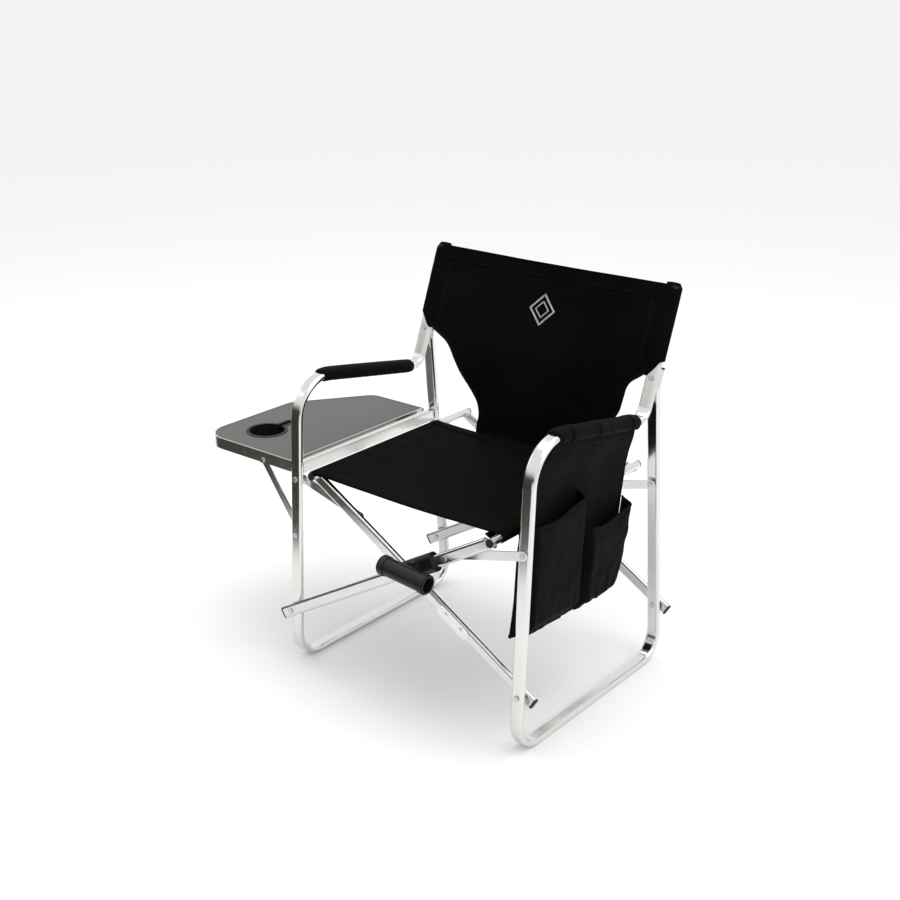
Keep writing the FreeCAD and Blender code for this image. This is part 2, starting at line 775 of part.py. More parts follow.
def cup_holder():
    """Moulded cup with a thin flange and a handle slot."""
    flange_z = table_top_z - board_drop + 0.2
    top = flange_z + flange_lip
    low = flange_z - cup_depth
    inside = low + cup_floor
    centre = Vector(cup_x, cup_y, 0)
    outer = rod(centre + Z * low, centre + Z * top, cup_radius + cup_wall)
    outer = outer.fuse(handle_slot(handle_width + 2 * cup_wall, low, top))
    flange = rod(centre + Z * flange_z, centre + Z * top, cup_radius + flange_reach)
    flange = flange.fuse(handle_slot(handle_width + 2 * flange_reach, flange_z, top))
    hollow = rod(centre + Z * inside, centre + Z * (top + 1), cup_radius)
    hollow = hollow.fuse(handle_slot(handle_width, inside, top + 1))
    return outer.fuse(flange).cut(hollow).removeSplitter()


def hinge_rail():
    """Bar between the legs of the table side; the table hangs on its outer face."""
    x = -half_width
    z0, z1 = hinge_rail_z
    half = hinge_rail_half
    wall = hinge_rail_wall
    front = front_leg_y(z0) + tube_thick / 2 + hinge_rail_front
    rear = rear_leg_y(z1) - tube_thick / 2 - hinge_rail_rear
    rail = box(x - half, x + half, front, rear, z0, z1)
    inside = half - wall
    return rail.cut(box(x - inside, x + inside, front + wall, rear - wall, z0 + wall, z1 - wall))


def hinge_fixed_leaves():
    """Leaf and two outer knuckles of each table hinge, on the hinge rail."""
    leaves = []
    inner_x = -half_width - hinge_rail_half - 0.1
    outer_x = inner_x - leaf_thick
    low = hinge_z - knuckle_radius / 2
    for y in hinge_ys:
        leaf = box(outer_x, inner_x, y - leaf_half, y + leaf_half, low, hinge_rail_z[1] - 2)
        for y0, y1 in ((y - leaf_half, y - knuckle_split), (y + knuckle_split, y + leaf_half)):
            start = Vector(hinge_x, y0, hinge_z)
            knuckle = rod(start, Vector(hinge_x, y1, hinge_z), knuckle_radius)
            web = box(hinge_x, inner_x, y0, y1, low, hinge_z + knuckle_radius - 0.5)
            leaf = leaf.fuse(knuckle).fuse(web)
        room = box(outer_x - 1, inner_x + 1, y - knuckle_split, y + knuckle_split,
                   low - knuckle_radius, hinge_z + 2.25 * knuckle_radius)
        leaf = leaf.cut(room)
        bore = y_hole(hinge_x, hinge_z, y - 2 * leaf_half, y + 2 * leaf_half,
                      hinge_pin_radius + 0.02)
        leaves.append(leaf.cut(bore).removeSplitter())
    return Part.makeCompound(leaves)


def table_leaves():
    """Leaf and middle knuckle of each table hinge, under the table rim."""
    leaves = []
    low = table_top_z - table_depth
    half = knuckle_split - 0.2
    for y in hinge_ys:
        leaf = box(hinge_x - leaf_reach, hinge_x, y - half, y + half, low - leaf_thick, low - fit)
        start = Vector(hinge_x, y - half, hinge_z)
        knuckle = rod(start, Vector(hinge_x, y + half, hinge_z), knuckle_radius)
        bore = y_hole(hinge_x, hinge_z, y - leaf_half, y + leaf_half, hinge_pin_radius + fit)
        leaves.append(leaf.fuse(knuckle).cut(bore).removeSplitter())
    return Part.makeCompound(leaves)


def hinge_pins():
    pins = []
    for y in hinge_ys:
        start = Vector(hinge_x, y - hinge_pin_half, hinge_z)
        end = Vector(hinge_x, y + hinge_pin_half, hinge_z)
        pins.append(rod(start, end, hinge_pin_radius))
    return Part.makeCompound(pins)


strut_y0 = front_leg_y(strut_pivot_z) + tube_thick / 2 + strut_clear
strut_y1 = strut_y0 + strut_thick


def table_strut():
    """Flat stay from the front leg up into the table rim."""
    foot = (-half_width, strut_pivot_z)
    top = (strut_top_x, strut_top_z)
    return flat_bar(*foot, *top, strut_width, strut_y0, strut_y1, [foot, top])


def strut_stud():
    """Rivet in the rim at the strut's upper end, stopping just short of the strut."""
    end_y = table_front_y + rim_wall - fit
    return headed_pin(strut_top_x, strut_top_z, table_front_y - gap, end_y)


# ---------------------------------------------------------------- rod holder
clamp_along = 74.0            # middle of the clamp, up crossed leg 2 from the centre pivot
clamp_length = 84.0
clamp_wall = 7.0
swivel_y = front_2_y - cross_thick / 2 - 6.0
tube_bore = 15.0
holder_wall = 3.0
holder_lip = 1.6
holder_lip_half = 6.0
tube_length = 112.0
boss_round = 15.0
boss_rise = 5.0
screw_back = 26.0
screw_head = 9.0
screw_grooves = 10
rod_rise_deg = 5.0
tube_middle_y = swivel_y - 33.0


def clamp_middle():
    return Vector(0, front_2_y, centre_z) + cross_way(2) * clamp_along


def clamp_screw_line():
    """Foot of the thumb screw's head, and the way it points."""
    way = cross_way(2)
    across = way.cross(Y).normalize()
    down = across if across.z < 0 else across * -1
    return clamp_middle() - way * screw_back + down * (cross_width / 2 + clamp_wall + gap), down


def rod_clamp():
    """Moulded clamp round the crossed leg, with a boss for the swivel."""
    way = cross_way(2)
    across = way.cross(Y).normalize()
    middle = clamp_middle()
    start = middle - way * (clamp_length / 2)
    end = middle + way * (clamp_length / 2)
    body = oval_bar(start, end, across, cross_width + 2 * clamp_wall, cross_thick + 12.0)
    channel = oval_bar(start - way, end + way, across, cross_width + 2 * gap, cross_thick + 2 * gap)
    boss_start = Vector(middle.x, swivel_y + 1.0, middle.z)
    boss = rod(boss_start, boss_start - Y * boss_rise, boss_round)
    body = body.cut(channel).fuse(boss)
    screw, down = clamp_screw_line()
    body = body.cut(rod(screw - down * (clamp_wall + 0.5), screw + down, pin_radius + fit))
    bolt_hole = y_hole(middle.x, middle.z, swivel_y - 20, front_2_y - cross_thick / 2)
    return body.cut(bolt_hole).removeSplitter()


def clamp_screw():
    """Thumb screw that tightens the clamp from below."""
    spot, down = clamp_screw_line()
    way = cross_way(2)
    head = rod(spot, spot + down * screw_head, screw_head)
    reach = screw_head + 0.6
    for k in range(screw_grooves):
        turn = 2 * math.pi * k / screw_grooves
        groove = spot + way * (reach * math.cos(turn)) + Y * (reach * math.sin(turn))
        head = head.cut(rod(groove - down, groove + down * (screw_head + 2.0), 1.6))
    return head.fuse(rod(spot - down * (clamp_wall - 0.5), spot, pin_radius)).removeSplitter()


plate_y = swivel_y - 4.0 - gap
plate_thick = 5.0
head_y = plate_y - plate_thick - gap


def swivel_pin():
    """Headed pin that holds the cradle on the clamp and lets it turn."""
    middle = clamp_middle()
    return headed_pin(middle.x, middle.z, head_y, front_2_y - cross_thick / 2 - gap - 0.6)


def rod_tube_ends():
    middle = clamp_middle()
    rise = math.radians(rod_rise_deg)
    way = Vector(-math.cos(rise), 0, math.sin(rise))
    centre = Vector(middle.x, tube_middle_y, middle.z)
    return centre - way * (tube_length / 2), centre + way * (tube_length / 2)


def rod_cradle():
    """Swivel plate and the holder tube that takes the butt of a fishing rod."""
    x, _, z = clamp_middle()
    start, end = rod_tube_ends()
    way = end.sub(start).normalize()
    tube = rod(start, end, tube_bore + holder_wall)
    lip = way * holder_lip_half
    for spot in (start + way * 8.0, end - way * 8.0):
        tube = tube.fuse(rod(spot - lip, spot + lip, tube_bore + holder_wall + holder_lip))
    plate = rod(Vector(x, plate_y, z), Vector(x, plate_y - plate_thick, z), boss_round)
    web = box(x - 12.0, x + 12.0, tube_middle_y, plate_y - 4.0, z - 11.0, z + 11.0)
    cradle = tube.fuse(plate).fuse(web)
    cradle = cradle.cut(rod(start - way * 5.0, end + way * 5.0, tube_bore))
    cradle = cradle.cut(y_hole(x, z, head_y - 2.0, plate_y + 5.0))
    # The pin's head slips into a slot that is open below.
    slot_y = head_y - head_rise * pin_radius - gap
    slot_radius = head_ratio * pin_radius + gap
    slot = rod(Vector(x, head_y + gap, z), Vector(x, slot_y, z), slot_radius)
    slot = slot.fuse(box(x - slot_radius, x + slot_radius, slot_y, head_y + gap, z - 16.0, z))
    return cradle.cut(slot).removeSplitter()


# ---------------------------------------------------------------- all nodes
nodes = {
    "pouch_side_frame_tube": side_frame(1),
    "pouch_side_end_plugs": frame_plugs(1),
    "pouch_side_post_rivet": post_rivets(1),
    "pouch_side_pivot_rivets": leg_rivets(1),
    "pouch_side_spacers": leg_spacers(1),
    "pouch_side_arm_pad": arm_pad(1),
    "pouch_back_panel": pouch_panel(),
    "pouch_front_pocket": pouch_pocket(front_pocket),
    "pouch_rear_pocket": pouch_pocket(rear_pocket),
    "pouch_hanging_loops": pouch_loops(),
    "back_sling_pouch_half": back_half(1),
    "table_side_frame_tube": side_frame(-1),
    "table_side_end_plugs": frame_plugs(-1),
    "table_side_post_rivet": post_rivets(-1),
    "table_side_pivot_rivets": leg_rivets(-1),
    "table_side_spacers": leg_spacers(-1),
    "table_side_arm_pad": arm_pad(-1),
    "back_sling_table_half": back_half(-1),
    "table_hinge_rail": hinge_rail(),
    "table_hinge_fixed_leaves": hinge_fixed_leaves(),
    "table_hinge_pins": hinge_pins(),
    "table_rim": table_rim(),
    "table_board": table_board(),
    "table_hinge_leaves": table_leaves(),
    "cup_holder": cup_holder(),
    "strut_stud": strut_stud(),
    "table_strut": table_strut(),
    "cross_1_front_leg": cross_leg(1, front_1_y),
    "cross_1_rear_leg": cross_leg(1, rear_1_y),
    "cross_1_end_caps": cross_caps(1),
    "cross_1_seat_rail": seat_rail(1),
    "cross_1_saddles": saddles(1),
    "cross_1_link_pins": link_pins(1),
    "cross_1_doubler_plate": doubler(),
    "centre_pivot_rivets": centre_pins(),
    "centre_pivot_spacers": centre_spacers(),
    "seat_sling_table_half": seat_half(-1),
    "cross_2_front_leg": cross_leg(2, front_2_y),
    "cross_2_rear_leg": cross_leg(2, rear_2_y),
    "cross_2_end_caps": cross_caps(2),
    "cross_2_seat_rail": seat_rail(2),
    "cross_2_saddles": saddles(2),
    "cross_2_link_pins": link_pins(2),
    "seat_sling_pouch_half": seat_half(1),
    "rod_clamp": rod_clamp(),
    "rod_clamp_screw": clamp_screw(),
    "rod_swivel_pin": swivel_pin(),
    "rod_cradle": rod_cradle(),
    "link_front_pouch_side": link(1, 0),
    "link_rear_pouch_side": link(1, 1),
    "link_front_table_side": link(-1, 0),
    "link_rear_table_side": link(-1, 1),
}

# The origin is the middle of the footprint box, on the floor.
whole = Part.makeCompound(list(nodes.values())).BoundBox
to_origin = Vector(-(whole.XMin + whole.XMax) / 2, -(whole.YMin + whole.YMax) / 2, 0)

os.makedirs("parts", exist_ok=True)
for name, shape in nodes.items():
    shape.translate(to_origin)
    shape.exportStep(f"parts/{name}.step")
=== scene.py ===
# %% [markdown]
# A folding camp chair, dressed for the studio.  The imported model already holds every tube, rivet
# and moulding in its right place, so this script loads it as a fixed frame.  Its work is the
# cloth, which the frame only stands in for with flat sheets, and the finish of every surface.

# %% Load the frame
import json
import math
import bmesh
import bpy
from mathutils import Matrix, Vector, noise
from mathutils.bvhtree import BVHTree


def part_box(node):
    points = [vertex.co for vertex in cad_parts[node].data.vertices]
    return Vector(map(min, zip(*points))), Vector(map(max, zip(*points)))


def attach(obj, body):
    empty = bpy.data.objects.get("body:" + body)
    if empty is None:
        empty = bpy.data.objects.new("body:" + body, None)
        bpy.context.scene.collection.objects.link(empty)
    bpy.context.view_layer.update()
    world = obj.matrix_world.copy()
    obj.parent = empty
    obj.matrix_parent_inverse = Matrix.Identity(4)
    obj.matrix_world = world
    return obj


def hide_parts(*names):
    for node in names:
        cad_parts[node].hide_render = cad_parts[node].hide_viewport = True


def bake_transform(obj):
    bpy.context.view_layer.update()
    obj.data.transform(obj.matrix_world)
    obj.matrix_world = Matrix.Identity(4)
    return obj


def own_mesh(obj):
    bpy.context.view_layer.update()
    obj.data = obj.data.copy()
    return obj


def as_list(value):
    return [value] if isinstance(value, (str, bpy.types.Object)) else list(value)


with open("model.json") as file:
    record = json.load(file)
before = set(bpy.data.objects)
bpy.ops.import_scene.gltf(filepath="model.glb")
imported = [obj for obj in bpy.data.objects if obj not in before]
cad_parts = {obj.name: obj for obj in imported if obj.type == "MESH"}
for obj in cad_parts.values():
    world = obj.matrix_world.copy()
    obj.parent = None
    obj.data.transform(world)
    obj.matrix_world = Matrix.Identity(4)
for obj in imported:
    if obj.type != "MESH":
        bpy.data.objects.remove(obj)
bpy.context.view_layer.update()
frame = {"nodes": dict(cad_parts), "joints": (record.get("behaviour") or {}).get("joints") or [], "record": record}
nodes = frame["nodes"]
joint = {j["name"]: j for j in frame["joints"]}
middle = Vector(joint["centre_pivot"]["pos_m"])
print("pieces in the frame:", len(nodes))

# %% [markdown]
# Shader maths reads best as ordinary expressions.  A Wire wraps one output socket of a node, and
# adding or multiplying two wires adds the Math node that does it.  Every other node comes from
# Finish.node, which takes the settings first and then what goes into each socket.

# %% Shader expressions
class Wire:
    """One output socket that can be used in sums."""

    def __init__(self, finish, socket):
        self.finish = finish
        self.socket = socket

    def sum_node(self, operation, first, second=0.0, clamp=False):
        return self.finish.node("ShaderNodeMath", {"operation": operation, "use_clamp": clamp},
                                {0: first, 1: second})

    def __add__(self, other):
        return self.sum_node("ADD", self, other)

    def __sub__(self, other):
        return self.sum_node("SUBTRACT", self, other)

    def __rsub__(self, other):
        return self.sum_node("SUBTRACT", other, self)

    def __mul__(self, other):
        return self.sum_node("MULTIPLY", self, other)

    def __pow__(self, other):
        return self.sum_node("POWER", self, other)

    def over(self, other):
        return self.sum_node("GREATER_THAN", self, other)

    def clamped(self):
        return self.sum_node("ADD", self, 0.0, clamp=True)

    __radd__ = __add__
    __rmul__ = __mul__


class Finish:
    """A material, its principled shader, and the nodes that feed it."""

    def __init__(self, name, **constants):
        self.material = bpy.data.materials.new(name)
        self.material.use_nodes = True
        self.tree = self.material.node_tree
        self.shader = self.tree.nodes["Principled BSDF"]
        for socket, value in constants.items():
            self.shader.inputs[socket.replace("_", " ")].default_value = value

    def node(self, kind, settings=None, sockets=None, out=0):
        made = self.tree.nodes.new(kind)
        for key, value in (settings or {}).items():
            if key == "stops":
                ramp = made.color_ramp
                for stop, (place, colour) in zip(ramp.elements, value):
                    stop.position = place
                    stop.color = colour
            else:
                setattr(made, key, value)
        for key, value in (sockets or {}).items():
            if isinstance(value, Wire):
                self.tree.links.new(value.socket, made.inputs[key])
            else:
                made.inputs[key].default_value = value
        return Wire(self, made.outputs[out])

    def place(self, stretch=(1.0, 1.0, 1.0), turn=(0.0, 0.0, 0.0)):
        """Where a point sits on the piece, stretched to suit the pattern."""
        here = self.node("ShaderNodeTexCoord", out=3)
        return self.node("ShaderNodeMapping", sockets={"Vector": here, "Scale": stretch,
                                                       "Rotation": turn})

    def patches(self, scale, detail=3.0, place=None):
        return self.node("ShaderNodeTexNoise", sockets={
            "Vector": place or self.place(), "Scale": scale, "Detail": detail})

    def stripes(self, scale, way="X", place=None, distortion=0.0):
        return self.node("ShaderNodeTexWave", {"bands_direction": way}, {
            "Vector": place or self.place(), "Scale": scale, "Distortion": distortion}, out=1)

    def blend(self, first, second, mask):
        return self.node("ShaderNodeMix", {"data_type": "RGBA"},
                         {0: mask, 6: first, 7: second}, out=2)

    def feed(self, socket, wire):
        self.tree.links.new(wire.socket, self.shader.inputs[socket])

    def bumps(self, height, distance, strength=1.0, under=None):
        sockets = {"Height": height, "Distance": distance, "Strength": strength}
        if under:
            sockets["Normal"] = under
        return self.node("ShaderNodeBump", sockets=sockets)


def rgb(red, green=None, blue=None):
    return (red, red if green is None else green, red if blue is None else blue, 1.0)


# %% [markdown]
# The frame is drawn aluminium tube, polished and clear coated.  Drawing leaves faint lines along
# the tube, and polish leaves a slow unevenness that makes reflections swim a little.  Streaks that
# depend only on the place across the tube run along it without needing a texture map.

# %% Bare metal finishes
def bright_metal(name, tint, rough, across):
    drawn_lines = 0.35
    finish = Finish(name, Metallic=1.0)
    streak = finish.patches(60.0, 4.0, finish.place(across))
    cloud = finish.patches(9.0, 2.0)
    scuff = finish.patches(140.0, 6.0).over(0.66) * finish.patches(14.0).over(0.5)
    shade = (streak - 0.5) * 0.10 + (cloud - 0.5) * 0.12
    finish.feed("Base Color", finish.blend(rgb(*(c * 0.86 for c in tint)), rgb(*tint),
                                           (shade + 0.75 - scuff * 0.10).clamped()))
    finish.feed("Roughness", ((streak - 0.5) * 0.16 + (cloud - 0.5) * 0.10 + scuff * 0.07
                              + rough).clamped())
    grain = finish.bumps(streak, 0.00012, drawn_lines)
    finish.feed("Normal", finish.bumps(cloud, 0.0012, 0.12, grain))
    return finish.material


frame_metal = bright_metal("polished tube", (0.74, 0.74, 0.72), 0.16, (14.0, 0.4, 0.4))
leg_metal = bright_metal("polished leg", (0.70, 0.70, 0.69), 0.19, (0.6, 14.0, 0.6))
edge_metal = bright_metal("bright edge", (0.76, 0.76, 0.75), 0.22, (0.5, 0.5, 16.0))
rivet_metal = bright_metal("plated rivet", (0.62, 0.62, 0.63), 0.30, (6.0, 6.0, 6.0))
hinge_metal = bright_metal("zinc hinge", (0.50, 0.50, 0.52), 0.36, (8.0, 8.0, 8.0))
print("metal finishes: 5")

# %% [markdown]
# The seat and back are black polyester, a plain weave of thick flat yarns with a faint sheen.  Two
# crossed sets of fine stripes make the weave.  Slow patches change the tone, because a sling
# always has some dust and some polish from use.

# %% Cloth finishes
def woven(name, dark, light, yarn, sheen, rough, relief=0.00025, ripstop=0.0):
    finish = Finish(name, Sheen_Weight=sheen, Sheen_Roughness=0.45, Specular_IOR_Level=0.10,
                    IOR=1.15)
    finish.shader.inputs["Sheen Tint"].default_value = rgb(0.75, 0.80, 0.80)
    here = finish.place()
    warp = finish.stripes(yarn, "X", here, 0.6)
    weft = finish.stripes(yarn, "DIAGONAL", finish.place((0.0, 1.0, 1.0)), 0.6)
    weave = (warp + weft) * 0.5
    dust = finish.patches(7.0, 5.0, here)
    fluff = finish.patches(420.0, 2.0, here)
    tone = ((weave - 0.5) * 0.5 + (dust - 0.5) * 1.1 + (fluff - 0.5) * 0.5 + 0.5).clamped()
    height = weave + fluff * 0.35
    if ripstop:
        thin = 14.0
        cross = (finish.stripes(ripstop, "Y", here) ** thin
                 + finish.stripes(ripstop, "Z", here) ** thin)
        height = height + cross * 0.8
        tone = (tone + cross * 0.25).clamped()
    finish.feed("Base Color", finish.blend(rgb(*dark), rgb(*light), tone))
    finish.feed("Roughness", ((dust - 0.5) * 0.18 + (fluff - 0.5) * 0.1 + rough).clamped())
    crease = finish.bumps(finish.patches(16.0, 3.0, here), 0.004, 0.25)
    finish.feed("Normal", finish.bumps(height, relief, 0.8, crease))
    return finish.material


sling_cloth = woven("sling polyester", dark=(0.0008, 0.0010, 0.0010),
                    light=(0.0050, 0.0060, 0.0060), yarn=330.0, sheen=0.008, rough=0.70)
pad_cloth = woven("padded nylon", dark=(0.0014, 0.0015, 0.0017),
                  light=(0.0080, 0.0084, 0.0092), yarn=420.0, sheen=0.025, rough=0.60)
pouch_cloth = woven("organiser nylon", dark=(0.0012, 0.0015, 0.0015),
                    light=(0.0075, 0.0090, 0.0090), yarn=400.0, sheen=0.022, rough=0.62,
                    ripstop=32.0)
webbing = woven("edge tape", dark=(0.002, 0.002, 0.002), light=(0.011, 0.011, 0.012),
                yarn=220.0, sheen=0.025, rough=0.66, relief=0.0004)


def thread(name, dark, light):
    finish = Finish(name, Sheen_Weight=0.04, Specular_IOR_Level=0.15, Roughness=0.6)
    twist = finish.stripes(500.0, "DIAGONAL", finish.place())
    finish.feed("Base Color", finish.blend(rgb(*dark), rgb(*light), twist))
    finish.feed("Normal", finish.bumps(twist, 0.0002, 0.6))
    return finish.material


black_thread = thread("black thread", (0.005, 0.005, 0.005), (0.018, 0.018, 0.019))
pale_thread = thread("pale thread", (0.45, 0.45, 0.44), (0.72, 0.72, 0.70))
print("cloth and thread finishes: 6")

# %% [markdown]
# The caps, saddles, rod clamp and cup are moulded plastic: nearly one colour, with a spark-eroded
# grain that breaks up the highlight, and smoother patches where hands rub.  The table board has a
# printed laminate, dark grey with a fine pebble.

# %% Plastic and laminate finishes
def moulded(name, colour, rough):
    finish = Finish(name, Specular_IOR_Level=0.28)
    grain = finish.patches(900.0, 3.0)
    rub = finish.patches(22.0, 3.0)
    worn = ((rub - 0.45) * 2.2).clamped()
    finish.feed("Base Color", finish.blend(rgb(*colour), rgb(*(c * 1.7 + 0.004 for c in colour)),
                                           (grain * 0.5 + worn * 0.4).clamped()))
    finish.feed("Roughness", ((grain - 0.5) * 0.25 - worn * 0.12 + rough).clamped())
    finish.feed("Normal", finish.bumps(grain, 0.00012, 0.5))
    return finish.material


black_plastic = moulded("black moulding", (0.006, 0.006, 0.0065), 0.46)
cup_plastic = moulded("cup moulding", (0.003, 0.003, 0.0035), 0.5)


def laminate():
    finish = Finish("table laminate", Specular_IOR_Level=0.35)
    pebble = finish.node("ShaderNodeTexVoronoi", {"feature": "F1"},
                         {"Vector": finish.place(), "Scale": 620.0})
    cloud = finish.patches(5.0, 4.0)
    speck = finish.patches(500.0, 2.0).over(0.62)
    scratch = finish.patches(30.0, 5.0, finish.place((1.0, 22.0, 1.0), (0, 0, 0.6))).over(0.7)
    tone = ((cloud - 0.5) * 0.7 + speck * 0.25 + scratch * 0.2 + pebble * 0.3 + 0.25).clamped()
    finish.feed("Base Color", finish.blend(rgb(0.058, 0.061, 0.057), rgb(0.104, 0.109, 0.103),
                                           tone))
    finish.feed("Roughness", ((cloud - 0.5) * 0.2 + scratch * 0.1 + 0.42).clamped())
    finish.feed("Normal", finish.bumps(pebble, 0.00025, 0.35))
    return finish.material


table_laminate = laminate()
print("moulded and laminate finishes: 3")

# %% [markdown]
# Every part that came from the frame keeps its shape and takes a finish by its slot in the record.
# The long tubes and the legs take different metals, so that their drawing lines run lengthwise.

# %% Dress the metal and plastic parts
by_slot = {
    "polished_aluminium": frame_metal, "bright_edge": edge_metal, "black_sling": sling_cloth,
    "black_padding": pad_cloth, "black_pouch": pouch_cloth, "black_webbing": webbing,
    "black_plastic": black_plastic, "cup_plastic": cup_plastic,
    "table_laminate": table_laminate, "rivet_steel": rivet_metal, "pin_steel": hinge_metal,
}
for part in frame["record"]["subparts"]:
    metal = by_slot[part["material_slot"]]
    if "leg" in part["node"] and part["node"].startswith("cross"):
        metal = leg_metal
    for place in nodes[part["node"]].material_slots:
        place.material = metal

# %% [markdown]
# The cloth has to lie on the frame, so its places are felt out on the frame itself: a ray is sent
# at a part and comes back with the point where it touches.

# %% Feel for a part's surface
feelers = {}


def touch(name, start, way):
    """The first point where a ray meets a part of the frame, or None."""
    if name not in feelers:
        mesh = nodes[name].data
        feelers[name] = BVHTree.FromPolygons([v.co for v in mesh.vertices],
                                             [p.vertices[:] for p in mesh.polygons])
    return feelers[name].ray_cast(Vector(start), Vector(way))[0]


def mm(*numbers):
    """Chair sizes in millimetres from the middle of the seat, as a point in the row frame."""
    x, y, z = numbers
    return Vector((middle.x + x / 1000, middle.y + y / 1000, z / 1000))


# %% [markdown]
# Cloth is made as rows of points, skinned with quads, and given its thickness by Solidify.  Freeze
# turns that modifier into plain mesh, because a piece that bends or flattens with a joint needs
# its final mesh first.

# %% Cloth helpers
def new_piece(name, points, faces, finish):
    mesh = bpy.data.meshes.new(name)
    mesh.from_pydata([tuple(p) for p in points], [], faces)
    mesh.validate()
    mesh.materials.append(finish)
    for face in mesh.polygons:
        face.use_smooth = True
    piece = bpy.data.objects.new(name, mesh)
    bpy.context.scene.collection.objects.link(piece)
    return piece


def freeze(piece):
    """Applies every modifier of a piece."""
    bpy.context.view_layer.update()
    graph = bpy.context.evaluated_depsgraph_get()
    mesh = bpy.data.meshes.new_from_object(piece.evaluated_get(graph))
    piece.modifiers.clear()
    piece.data = mesh
    return piece


def thicken(piece, thick):
    solid = piece.modifiers.new("thickness", "SOLIDIFY")
    solid.thickness = thick
    solid.offset = 0.0
    return freeze(piece)


def cloth(name, rows, finish, thick, closed=False, skip=None):
    """A sheet through rows of points.  closed joins each row's end to its start."""
    width = len(rows[0])
    points = [p for row in rows for p in row]
    faces = []
    for i in range(len(rows) - 1):
        for j in range(width if closed else width - 1):
            if skip and skip(i, j):
                continue
            k = (j + 1) % width
            faces.append((i * width + j, i * width + k, (i + 1) * width + k, (i + 1) * width + j))
    piece = new_piece(name, points, faces, finish)
    if skip:
        shape = bmesh.new()
        shape.from_mesh(piece.data)
        bmesh.ops.delete(shape, geom=[v for v in shape.verts if not v.link_faces], context="VERTS")
        shape.to_mesh(piece.data)
        shape.free()
    return thicken(piece, thick) if thick else piece


def cloth_area(rows):
    """Area of a sheet through rows of points, counted once."""
    total = 0.0
    for row, after in zip(rows, rows[1:]):
        for a, b, c, d in zip(row, row[1:], after[1:], after):
            total += ((b - a).cross(d - a).length + (b - c).cross(d - c).length) / 2
    return total


def ease(t):
    t = min(max(t, 0.0), 1.0)
    return t * t * (3 - 2 * t)


def span(start, end, count):
    return [start + (end - start) * k / (count - 1) for k in range(count)]


# %% [markdown]
# Edges are bound with tape and seams are sewn.  A binding is a thin round tube that follows the
# edge, and a seam is a row of small separate stitches, each a stretched bead lying on the cloth.

# %% Binding and stitches
def binding(name, points, radius, finish):
    """A closed-ended tube through points."""
    sides = 8
    rings = []
    up = Vector((0.0, 0.0, 1.0))
    for k, point in enumerate(points):
        way = (points[min(k + 1, len(points) - 1)] - points[max(k - 1, 0)]).normalized()
        side = way.cross(up) if abs(way.dot(up)) < 0.95 else way.cross(Vector((1.0, 0.0, 0.0)))
        side.normalize()
        if rings and side.dot(last_side) < 0:
            side = -side
        last_side = side
        rise = side.cross(way).normalized()
        rings.append([point + side * (radius * math.cos(2 * math.pi * s / sides))
                      + rise * (radius * math.sin(2 * math.pi * s / sides))
                      for s in range(sides)])
    flat_points = [p for ring in rings for p in ring]
    faces = []
    for i in range(len(rings) - 1):
        for s in range(sides):
            t = (s + 1) % sides
            faces.append((i * sides + s, i * sides + t, (i + 1) * sides + t, (i + 1) * sides + s))
    faces.append(tuple(reversed(range(sides))))
    faces.append(tuple(range((len(rings) - 1) * sides, len(rings) * sides)))
    return new_piece(name, flat_points, faces, finish)


def along(points, step):
    """Even steps along a line of points, as (place, direction)."""
    made = []
    left = step / 2
    for a, b in zip(points, points[1:]):
        length = (b - a).length
        if length < 1e-9:
            continue
        way = (b - a) / length
        while left <= length:
            made.append((a + way * left, way))
            left += step
        left -= length
    return made


def seam(name, lines, finish=None, pitch=0.0045, length=0.0032, radius=0.0004, up=(0, 0, 1)):
    """Rows of stitches along lines of points."""
    bead = bmesh.new()
    bmesh.ops.create_uvsphere(bead, u_segments=6, v_segments=4, radius=1.0)
    bead_points = [v.co.copy() for v in bead.verts]
    bead_faces = [[v.index for v in f.verts] for f in bead.faces]
    bead.free()
    points = []
    faces = []
    for line in lines:
        for spot, way in along(line, pitch):
            side = way.cross(Vector(up)).normalized()
            rise = side.cross(way).normalized()
            turn = Matrix((side * radius, rise * radius, way * (length / 2))).transposed()
            base = len(points)
            points += [spot + turn @ p for p in bead_points]
            faces += [[base + k for k in f] for f in bead_faces]
    return new_piece(name, points, faces, finish or black_thread)


# %% [markdown]
# The seat is one cloth, slung between the two seat rails.  Each side is folded round its rail and
# sewn back on itself, and the sleeve is cut away where a leg comes up to the rail.  The sheet
# hangs a few millimetres low in the middle and its front edge is a doubled hem.

# %% Seat sling
seat_low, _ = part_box("seat_sling_table_half")
_, seat_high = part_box("seat_sling_pouch_half")


def rail_line(name):
    low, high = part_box(name)
    return (low.x + high.x) / 2, (low.z + high.z) / 2, (high.x - low.x) / 2


rail_left, rail_z, rail_radius = rail_line("cross_1_seat_rail")
rail_right, _, _ = rail_line("cross_2_seat_rail")
wrap = rail_radius + 0.0013
tuck = 0.034
under_steps = 8
round_steps = 12
seat_sag = 0.008
seat_front = seat_low.y + 0.001
seat_rear = seat_high.y - 0.001
print("seat", round((seat_rear - seat_front) * 1000), "mm deep,",
      round((rail_right - rail_left) * 1000), "mm between rails")


def seat_top(x, y):
    """Height of the seat cloth over the ground."""
    across = (x - middle.x) / (rail_right - middle.x)
    depth = (y - seat_front) / (seat_rear - seat_front)
    dip = seat_sag * max(0.0, 1 - across * across) * (0.65 + 0.35 * math.sin(math.pi * depth))
    ripple = 0.0011 * noise.noise(Vector((x * 9, y * 5, 3.1))) * (1 - abs(across) ** 6)
    pull = 0.0009 * math.sin(y * 95.0) * max(0.0, abs(across) - 0.72) / 0.28
    return rail_z + wrap - dip + ripple + pull * (1 - ease((abs(across) - 0.93) / 0.07))


